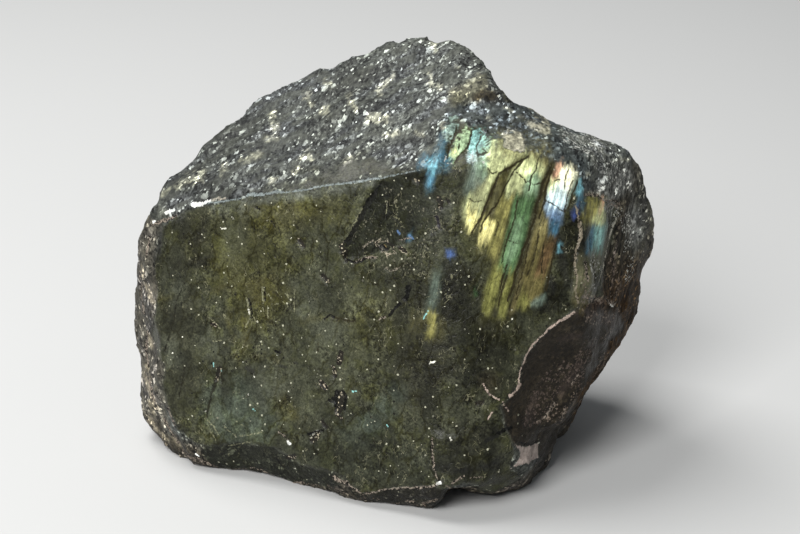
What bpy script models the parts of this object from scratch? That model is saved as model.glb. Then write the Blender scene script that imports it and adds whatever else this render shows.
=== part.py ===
"""Rough labradorite chunk with one smooth window face.

One natural stone, about 90 mm long. The model is in metres, +Z up, with the
window side towards -Y and the origin on the ground under the middle of the
stone. Corner positions below are in millimetres, measured from a point on the
ground under the stone's heart, and the finished stone is centred at the end.
"""
import math

import bmesh
import bpy
from mathutils import Vector, noise

NAME = "labradorite_chunk"
MM = 0.001

# Driving dimensions, in metres
VOXEL_SIZE = 0.8 * MM
EDGE_WEAR = 0.6
EDGE_WEAR_PASSES = 3
POLISH_PASSES = 60
LUMP_SPACING = 11.0 * MM
LUMP_HEIGHT = 0.8 * MM
CHIP_SPACING = 5.5 * MM
CHIP_HEIGHT = 1.1 * MM
CHIP_VARIETY = 3.7
# The chips' tilts come from this seed, so that every run breaks the stone the same way
CHIP_SEED = 1795465757
BED_LENGTH = 14.0 * MM
BED_SPACING = 4.5 * MM
BED_STEP = 0.5 * MM
GRIT_SPACING = 2.6 * MM
GRIT_HEIGHT = 0.35 * MM
FOOT_TRIM = 0.5 * MM
GROUND_SIZE = 200.0 * MM
TARGET_TRIANGLES = 9000

# Headings and backward leans of the smooth faces; a heading of 0 faces -Y
WINDOW_FACE = (math.radians(-24.0), math.radians(14.0))
BEND_FACE = (math.radians(-5.0), math.radians(15.0))
FLASH_FACE = (math.radians(14.0), math.radians(16.0))

# The bedding of the rock runs along the front edge of the top slab
BEDDING = Vector((0.90, -0.33, 0.27)).normalized()

# Main lump: the window, the rough left rim and the high top slab
MAIN_CORNERS = {
    "ridge left end": (-31.6, -5.9, 44.1),
    "ridge middle": (-16.1, -11.6, 48.8),
    "ridge right end": (5.8, -19.6, 55.3),
    "window upper left": (-37.6, -4.2, 40.3),
    "window left": (-40.4, -6.6, 27.4),
    "window lower left": (-39.5, -10.2, 15.4),
    "window foot left": (-37.5, -13.4, 6.8),
    "window foot corner": (-33.2, -16.0, 4.5),
    "window foot middle": (-21.3, -20.6, 7.6),
    "window foot right": (-10.2, -26.1, 5.2),
    "front nose left": (-4.5, -29.1, 3.4),
    "front nose right": (5.9, -33.0, 6.2),
    "foot left": (-38.6, -9.0, 0.0),
    "foot front left": (-32.1, -16.4, 0.0),
    "foot front middle": (-17.0, -20.9, 0.0),
    "foot nose left": (-5.7, -27.0, 0.0),
    "foot nose": (5.2, -30.0, 0.0),
    "foot nose right": (8.0, -27.6, 0.0),
    "rim shoulder": (-43.0, 0.0, 37.9),
    "rim upper": (-44.3, 4.0, 29.2),
    "rim bulge": (-45.0, 4.0, 21.5),
    "rim lower": (-44.4, 3.0, 12.4),
    "rim toe": (-43.9, -2.0, 5.6),
    "rim heel": (-42.4, -3.0, 1.2),
    "crest 1": (-41.3, 0.5, 42.4),
    "crest 2": (-38.7, 5.1, 44.5),
    "crest 3": (-33.3, 8.7, 48.1),
    "crest 4": (-30.8, 11.2, 50.3),
    "crest 5": (-24.2, 17.8, 54.2),
    "crest 6": (-17.3, 18.7, 57.3),
    "crest 7": (-8.8, 19.5, 61.4),
    "crest 8": (0.0, 18.9, 64.8),
    "peak": (8.4, 14.3, 66.7),
    "slab end": (13.2, 6.0, 65.9),
    "riser left": (7.6, -4.0, 61.5),
    "back upper right": (14.0, 14.0, 54.0),
    "back upper": (-6.0, 25.0, 50.0),
    "back shoulder": (-26.0, 24.0, 38.0),
    "back left": (-38.0, 16.0, 30.0),
    "back heel left": (-40.0, 12.0, 8.0),
    "back foot left": (-32.0, 19.0, 0.0),
    "back belly": (-12.0, 28.5, 24.0),
    "back foot": (-6.0, 24.0, 0.0),
    "inside foot": (12.0, 16.0, 0.0),
}

# The thin broken end of the top slab, which overlooks the right shelf
SLAB_CORNERS = {
    "peak": (8.4, 14.3, 67.0),
    "slab end": (13.2, 6.0, 66.1),
    "slab shoulder": (16.0, 1.0, 64.2),
    "slab tip": (18.3, -3.5, 62.1),
    "slab tip front": (17.0, -5.0, 63.4),
    "riser middle": (13.6, -3.5, 63.9),
    "riser corner": (9.4, -2.5, 63.0),
    "riser left": (7.6, -4.0, 61.7),
    "riser foot left": (8.1, -4.6, 60.0),
    "riser foot": (12.0, -4.8, 59.0),
    "riser foot right": (18.2, -4.2, 59.6),
    "inside right": (17.0, 8.0, 55.0),
    "inside left": (4.0, 8.0, 55.0),
}

# Right lump: the side of the window that flashes, under its rough shelf
RIGHT_CORNERS = {
    "flash top left": (7.1, -12.5, 60.0),
    "flash top": (15.8, -14.5, 58.3),
    "flash top middle": (23.5, -14.0, 56.4),
    "flash top right": (28.8, -13.5, 54.6),
    "bend upper left": (5.8, -19.6, 55.3),
    "bend upper right": (12.3, -19.1, 55.5),
    "bend foot left": (5.9, -33.0, 6.2),
    "bend foot right": (12.3, -33.2, 8.0),
    "flash right upper": (29.2, -16.6, 49.8),
    "flash right lower": (29.0, -21.0, 34.5),
    "flash lower right": (27.4, -25.8, 17.0),
    "shelf left": (18.6, -3.0, 60.9),
    "shelf middle": (25.0, -1.0, 57.4),
    "shelf right": (33.1, 0.0, 53.4),
    "shelf end": (38.7, 1.0, 51.1),
    "right shoulder": (41.9, 2.0, 44.8),
    "right bulge": (43.1, 3.0, 37.6),
    "right waist": (42.6, 3.0, 32.5),
    "right notch": (41.0, 2.0, 26.0),
    "overhang": (40.0, 1.5, 21.2),
    "overhang lower": (36.4, 4.0, 13.6),
    "overhang heel": (34.1, 4.0, 8.8),
    "foot right": (30.4, 3.5, 1.8),
    "foot right front": (28.3, -3.0, 1.4),
    "foot back right": (24.0, 13.0, 0.0),
    "back shelf": (24.0, 14.0, 50.0),
    "back right": (38.0, 14.0, 39.0),
    "back right lower": (36.0, 15.0, 18.0),
    "back middle": (14.0, 25.0, 40.0),
    "back low": (18.0, 23.0, 8.0),
    "inside top": (0.0, 5.0, 56.0),
    "inside foot": (-4.0, 10.0, 0.0),
}

# Back lump, which fills the valley between the two large ones
BACK_CORNERS = {
    "back belly": (-12.0, 28.0, 24.0),
    "back belly right": (6.0, 29.5, 22.0),
    "back ridge": (2.0, 25.5, 47.0),
    "back ridge right": (15.0, 24.0, 44.0),
    "back side": (25.0, 22.0, 24.0),
    "back toe left": (-6.0, 23.5, 2.0),
    "back toe": (7.0, 25.0, 0.0),
    "back toe right": (19.0, 21.0, 0.0),
    "inside left": (-10.0, 5.0, 20.0),
    "inside right": (20.0, 5.0, 20.0),
    "inside upper": (2.0, 8.0, 52.0),
    "inside foot": (4.0, 5.0, 0.0),
}

# Lower right lobe, a smooth nose below the flake scar
LOBE_CORNERS = {
    "lobe top left": (7.0, -31.0, 13.6),
    "lobe top": (14.0, -29.6, 15.2),
    "lobe top right": (23.5, -22.0, 9.6),
    "lobe shoulder": (26.8, -14.0, 5.6),
    "lobe heel": (25.5, -15.5, 2.4),
    "lobe heel low": (24.8, -14.5, 0.0),
    "lobe foot right": (21.6, -20.5, 0.0),
    "lobe foot middle": (18.9, -23.0, 0.0),
    "lobe foot": (15.8, -24.6, 0.0),
    "lobe foot left": (12.8, -23.4, 0.0),
    "lobe foot notch": (10.4, -21.6, 0.0),
    "lobe belly left": (7.6, -33.2, 8.0),
    "lobe belly": (14.0, -32.2, 7.4),
    "lobe belly right": (20.5, -28.5, 7.4),
    "inside left": (6.0, -12.0, 12.0),
    "inside right": (22.0, -6.0, 8.0),
    "inside foot": (20.0, -6.0, 0.0),
}

# Hollows broken out of the lumps: centre and radius, in millimetres
FLAKE_SCAR = {"flake scar": ((43.1, -55.0, 23.2), 37.2)}
HOLLOWS = {
    "slab recess": ((14.6, -6.4, 62.4), 2.3),
    "lobe hollow": ((17.2, -34.5, 16.2), 4.6),
    "back hollow": ((22.0, 62.0, 34.0), 38.0),
    "back flake": ((-44.0, 50.0, 46.0), 34.0),
    "back chip": ((34.0, 48.0, -2.0), 30.0),
    "waist bite": ((48.5, -6.0, 27.0), 8.6),
    "foot bite": ((10.4, -31.6, -2.6), 5.6),
    "window foot hollow": ((-40.1, -62.9, -4.3), 48.0),
}


def clear_scene():
    for old in list(bpy.data.objects):
        bpy.data.objects.remove(old, do_unlink=True)


def face_normal(face):
    heading, lean = face
    return Vector((
        math.sin(heading) * math.cos(lean),
        -math.cos(heading) * math.cos(lean),
        math.sin(lean),
    ))


SMOOTH_NORMALS = [face_normal(face) for face in (WINDOW_FACE, BEND_FACE, FLASH_FACE)]


def smoothstep(low, high, value):
    share = min(max((value - low) / (high - low), 0.0), 1.0)
    return share * share * (3.0 - 2.0 * share)


def hull_object(name, corners, collection):
    """A convex lump: the hull of its named corners."""
    shape = bmesh.new()
    for corner in corners.values():
        shape.verts.new(Vector(corner) * MM)
    hull = bmesh.ops.convex_hull(shape, input=shape.verts)
    unused = [item for item in hull["geom_interior"] if isinstance(item, bmesh.types.BMVert)]
    bmesh.ops.delete(shape, geom=unused, context="VERTS")
    bmesh.ops.recalc_face_normals(shape, faces=shape.faces)
    mesh = bpy.data.meshes.new(name)
    shape.to_mesh(mesh)
    shape.free()
    lump = bpy.data.objects.new(name, mesh)
    collection.objects.link(lump)
    return lump


def ball_object(name, centre, radius, collection):
    """A fine ball that leaves a shell-shaped hollow where it is cut away."""
    shape = bmesh.new()
    bmesh.ops.create_icosphere(shape, subdivisions=5, radius=radius * MM)
    bmesh.ops.translate(shape, verts=shape.verts, vec=Vector(centre) * MM)
    mesh = bpy.data.meshes.new(name)
    shape.to_mesh(mesh)
    shape.free()
    ball = bpy.data.objects.new(name, mesh)
    collection.objects.link(ball)
    return ball


def add_boolean(stone, tool, operation):
    tool.hide_render = True
    tool.display_type = "WIRE"
    step = stone.modifiers.new(tool.name, "BOOLEAN")
    step.object = tool
    step.operation = operation
    step.solver = "EXACT"


def apply_modifiers(stone):
    """Replace the mesh by its evaluated form and drop the modifiers."""
    graph = bpy.context.evaluated_depsgraph_get()
    finished = bpy.data.meshes.new_from_object(stone.evaluated_get(graph))
    stone.modifiers.clear()
    stone.data = finished


def skin_roughness(normal):
    """0 on the smooth front faces, 1 on the rough skin."""
    facing = max(normal.dot(smooth) for smooth in SMOOTH_NORMALS)
    return 1.0 - smoothstep(0.86, 0.97, facing)


def polish(stone):
    """Wear the bend between the smooth faces round, and the faces even."""
    shape = bmesh.new()
    shape.from_mesh(stone.data)
    shape.normal_update()
    worn = [vertex for vertex in shape.verts if skin_roughness(vertex.normal) == 0.0]
    for _ in range(POLISH_PASSES):
        bmesh.ops.smooth_vert(
            shape, verts=worn, factor=0.5, use_axis_x=True, use_axis_y=True, use_axis_z=True
        )
    shape.to_mesh(stone.data)
    shape.free()


def chip_height(point):
    """Flat chips, each tilted its own way, like a broken surface."""
    place = point / CHIP_SPACING
    centre = noise.voronoi(place)[1][0]
    tilt = noise.noise_vector(centre * CHIP_VARIETY)
    return tilt.dot(place - centre)


def bedding_step(point):
    """Shallow steps drawn out along the bedding of the rock, from -0.5 to 0.5."""
    along = BEDDING.dot(point)
    across = point - BEDDING * along
    squeezed = across / BED_SPACING + BEDDING * (along / BED_LENGTH)
    return smoothstep(-0.12, 0.12, noise.noise(squeezed)) - 0.5


def roughen(stone):
    """Lift and sink the rough skin by lumps, chips, bedding steps and grit."""
    noise.seed_set(CHIP_SEED)
    shape = bmesh.new()
    shape.from_mesh(stone.data)
    shape.normal_update()
    moves = []
    for vertex in shape.verts:
        point = vertex.co
        height = LUMP_HEIGHT * noise.noise(point / LUMP_SPACING)
        height += CHIP_HEIGHT * chip_height(point)
        height += BED_STEP * bedding_step(point)
        height += GRIT_HEIGHT * noise.noise(point / GRIT_SPACING)
        moves.append(vertex.normal * height * skin_roughness(vertex.normal))
    for vertex, move in zip(shape.verts, moves):
        vertex.co += move
    shape.to_mesh(stone.data)
    shape.free()


def centre_on_ground(stone):
    """Put the origin on the ground under the middle of the stone."""
    corners = [vertex.co for vertex in stone.data.vertices]
    low = Vector([min(corner[axis] for corner in corners) for axis in range(3)])
    high = Vector([max(corner[axis] for corner in corners) for axis in range(3)])
    move = Vector((-(low.x + high.x) / 2.0, -(low.y + high.y) / 2.0, -low.z))
    for vertex in stone.data.vertices:
        vertex.co += move
    return move


def stone_material():
    material = bpy.data.materials.new("labradorite")
    material.use_nodes = True
    shader = material.node_tree.nodes["Principled BSDF"]
    shader.inputs["Base Color"].default_value = (0.075, 0.077, 0.05, 1.0)
    shader.inputs["Roughness"].default_value = 0.35
    shader.inputs["Metallic"].default_value = 0.0
    return material


def main():
    clear_scene()
    stone_collection = bpy.data.collections.new(NAME)
    tool_collection = bpy.data.collections.new("cutters")
    bpy.context.scene.collection.children.link(stone_collection)
    bpy.context.scene.collection.children.link(tool_collection)

    # The flake scar is cut before the lobe below it is joined on
    right_lump = hull_object("right_lump", RIGHT_CORNERS, tool_collection)
    for name, (centre, radius) in FLAKE_SCAR.items():
        add_boolean(right_lump, ball_object(name, centre, radius, tool_collection), "DIFFERENCE")
    apply_modifiers(right_lump)

    stone = hull_object(NAME, MAIN_CORNERS, stone_collection)
    add_boolean(stone, right_lump, "UNION")
    add_boolean(stone, hull_object("slab_end", SLAB_CORNERS, tool_collection), "UNION")
    add_boolean(stone, hull_object("lobe", LOBE_CORNERS, tool_collection), "UNION")
    add_boolean(stone, hull_object("back_lump", BACK_CORNERS, tool_collection), "UNION")
    for name, (centre, radius) in HOLLOWS.items():
        add_boolean(stone, ball_object(name, centre, radius, tool_collection), "DIFFERENCE")
    skin = stone.modifiers.new("even skin", "REMESH")
    skin.mode = "VOXEL"
    skin.voxel_size = VOXEL_SIZE
    wear = stone.modifiers.new("worn edges", "SMOOTH")
    wear.factor = EDGE_WEAR
    wear.iterations = EDGE_WEAR_PASSES
    apply_modifiers(stone)

    polish(stone)
    roughen(stone)
    thin = stone.modifiers.new("facets", "DECIMATE")
    thin.ratio = TARGET_TRIANGLES / (2.0 * len(stone.data.polygons))
    apply_modifiers(stone)

    # Trim the underside flat where it stands
    ground = bmesh.new()
    bmesh.ops.create_cube(ground, size=GROUND_SIZE)
    bmesh.ops.translate(ground, verts=ground.verts, vec=(0.0, 0.0, FOOT_TRIM - GROUND_SIZE / 2.0))
    ground_mesh = bpy.data.meshes.new("ground")
    ground.to_mesh(ground_mesh)
    ground.free()
    ground_block = bpy.data.objects.new("ground", ground_mesh)
    tool_collection.objects.link(ground_block)
    add_boolean(stone, ground_block, "DIFFERENCE")
    apply_modifiers(stone)
    stone.data.materials.clear()
    stone.data.materials.append(stone_material())
    return centre_on_ground(stone)


if __name__ == "__main__":
    main()
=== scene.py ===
import math

import bmesh
import bpy
import numpy as np
from mathutils import Matrix, Vector, noise


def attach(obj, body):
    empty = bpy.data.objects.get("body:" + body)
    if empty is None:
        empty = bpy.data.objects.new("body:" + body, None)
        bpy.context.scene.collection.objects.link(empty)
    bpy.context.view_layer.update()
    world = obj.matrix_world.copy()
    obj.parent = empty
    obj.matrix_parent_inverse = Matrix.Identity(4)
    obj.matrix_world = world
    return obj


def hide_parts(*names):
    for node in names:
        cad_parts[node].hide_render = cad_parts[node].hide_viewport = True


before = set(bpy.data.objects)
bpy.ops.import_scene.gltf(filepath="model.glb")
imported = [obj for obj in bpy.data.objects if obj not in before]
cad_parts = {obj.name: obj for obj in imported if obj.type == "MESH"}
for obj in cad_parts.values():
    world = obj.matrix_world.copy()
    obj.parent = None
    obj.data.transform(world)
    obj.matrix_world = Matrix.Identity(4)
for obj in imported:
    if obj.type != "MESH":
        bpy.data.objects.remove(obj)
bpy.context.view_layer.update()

# ---------------------------------------------------------------------------
# The stone's body: one rough piece of labradorite feldspar, broken out of the
# rock and left as it broke. It stands loose on its broken underside. The solid
# gives its form, and here it is laid out in small quads for the fine relief.
# ---------------------------------------------------------------------------
MM = 0.001
WELD_REACH = 0.001 * MM
SKIN_VOXEL = 0.85 * MM

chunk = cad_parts["labradorite_chunk"]
stone = bpy.data.objects.new("rough_labradorite", chunk.data.copy())
bpy.context.scene.collection.objects.link(stone)

shape = bmesh.new()
shape.from_mesh(stone.data)
bmesh.ops.remove_doubles(shape, verts=shape.verts, dist=WELD_REACH)
shape.to_mesh(stone.data)
shape.free()

skin = stone.modifiers.new("skin", "REMESH")
skin.mode = "VOXEL"
skin.voxel_size = SKIN_VOXEL
graph = bpy.context.evaluated_depsgraph_get()
laid_out = bpy.data.meshes.new_from_object(stone.evaluated_get(graph))
stone.modifiers.clear()
stone.data = laid_out

# ---------------------------------------------------------------------------
# The window: the one smooth face, where the crust is gone and the dark olive
# inside of the stone shows. The ridge bounds it above and the scar bounds it
# at the lower right. Corners are (x, z) in millimetres in the front elevation.
# ---------------------------------------------------------------------------
WINDOW_SIDE = Vector((0.0, -0.927, 0.375))
RIDGE = [
    (-35.7, 40.6), (-33.1, 42.4), (-30.6, 43.2), (-23.8, 45.6), (-19.6, 46.6), (-14.7, 48), (-9.8, 49.5),
    (-6.6, 50.3), (-1.8, 51.8), (1.4, 53), (6.1, 54.9),
]
SCAR_EDGE = [
    (26.8, 30.1), (24.9, 28.9), (22.8, 27.2), (21.4, 25.2), (20.4, 23.2), (20.1, 20.8), (18.5, 19),
    (17.2, 18.2), (18.1, 15.1),
]
WINDOW = [(-37.9, 38.8)] + RIDGE + [
    (7.2, 56.5), (8.2, 58.6), (9.7, 59.4), (11.4, 59.2), (14.1, 58.4), (15.3, 57.7), (16.5, 56.7),
    (20.3, 56.2), (24.3, 55.7), (26.1, 54.4), (27.6, 54.2), (28.8, 53), (30.6, 49.6), (31.7, 48.7),
    (34.3, 47.1), (37, 43.9), (36.6, 42.4), (36, 38.5), (34.8, 36), (33.9, 30.8), (31.2, 31.4),
    (29.6, 31.5),
] + SCAR_EDGE + [
    (19.2, 12.5), (19.8, 9.5), (19, 7.3), (20.8, 4), (18.4, 2.8), (14.4, 1.9), (11.7, 6.5), (10.2, 4.4),
    (7, 5.9), (1.4, 4.3), (-4.7, 2.2), (-7.5, 3.8), (-8.8, 4.8), (-15, 4.5), (-19.1, 6.4), (-23.3, 6.5),
    (-31.3, 4.7), (-33.5, 5.5), (-35.6, 6.3), (-37.9, 10.6), (-37.9, 16.5), (-39.4, 18.2), (-40.3, 20.2),
    (-38.8, 26.9), (-39.3, 33), (-38.8, 36.2),
]


def distance_to(places, line):
    """How far each place is from a line of corners, in millimetres."""
    corners = np.array(line, float).reshape(-1, 2)
    if len(corners) == 1:
        corners = np.repeat(corners, 2, axis=0)
    nearest = np.full(len(places), np.inf)
    for start, end in zip(corners[:-1], corners[1:]):
        run = end - start
        share = np.clip((places - start) @ run / max(run @ run, 1e-9), 0, 1)
        gap = places - start - share[:, None] * run
        nearest = np.minimum(nearest, np.hypot(gap[:, 0], gap[:, 1]))
    return nearest


def depth_within(places, outline):
    """How deep each place lies within an outline; negative outside it."""
    corners = np.array(outline, float).reshape(-1, 2)
    inside = np.zeros(len(places), bool)
    for (x0, z0), (x1, z1) in zip(corners, np.roll(corners, -1, axis=0)):
        crosses = (z0 > places[:, 1]) != (z1 > places[:, 1])
        rise = z1 - z0 if z1 != z0 else 1e-9
        inside ^= crosses & (places[:, 0] < x0 + (places[:, 1] - z0) * (x1 - x0) / rise)
    depth = distance_to(places, np.vstack([corners, corners[:1]]))
    return np.where(inside, depth, -depth)


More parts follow.
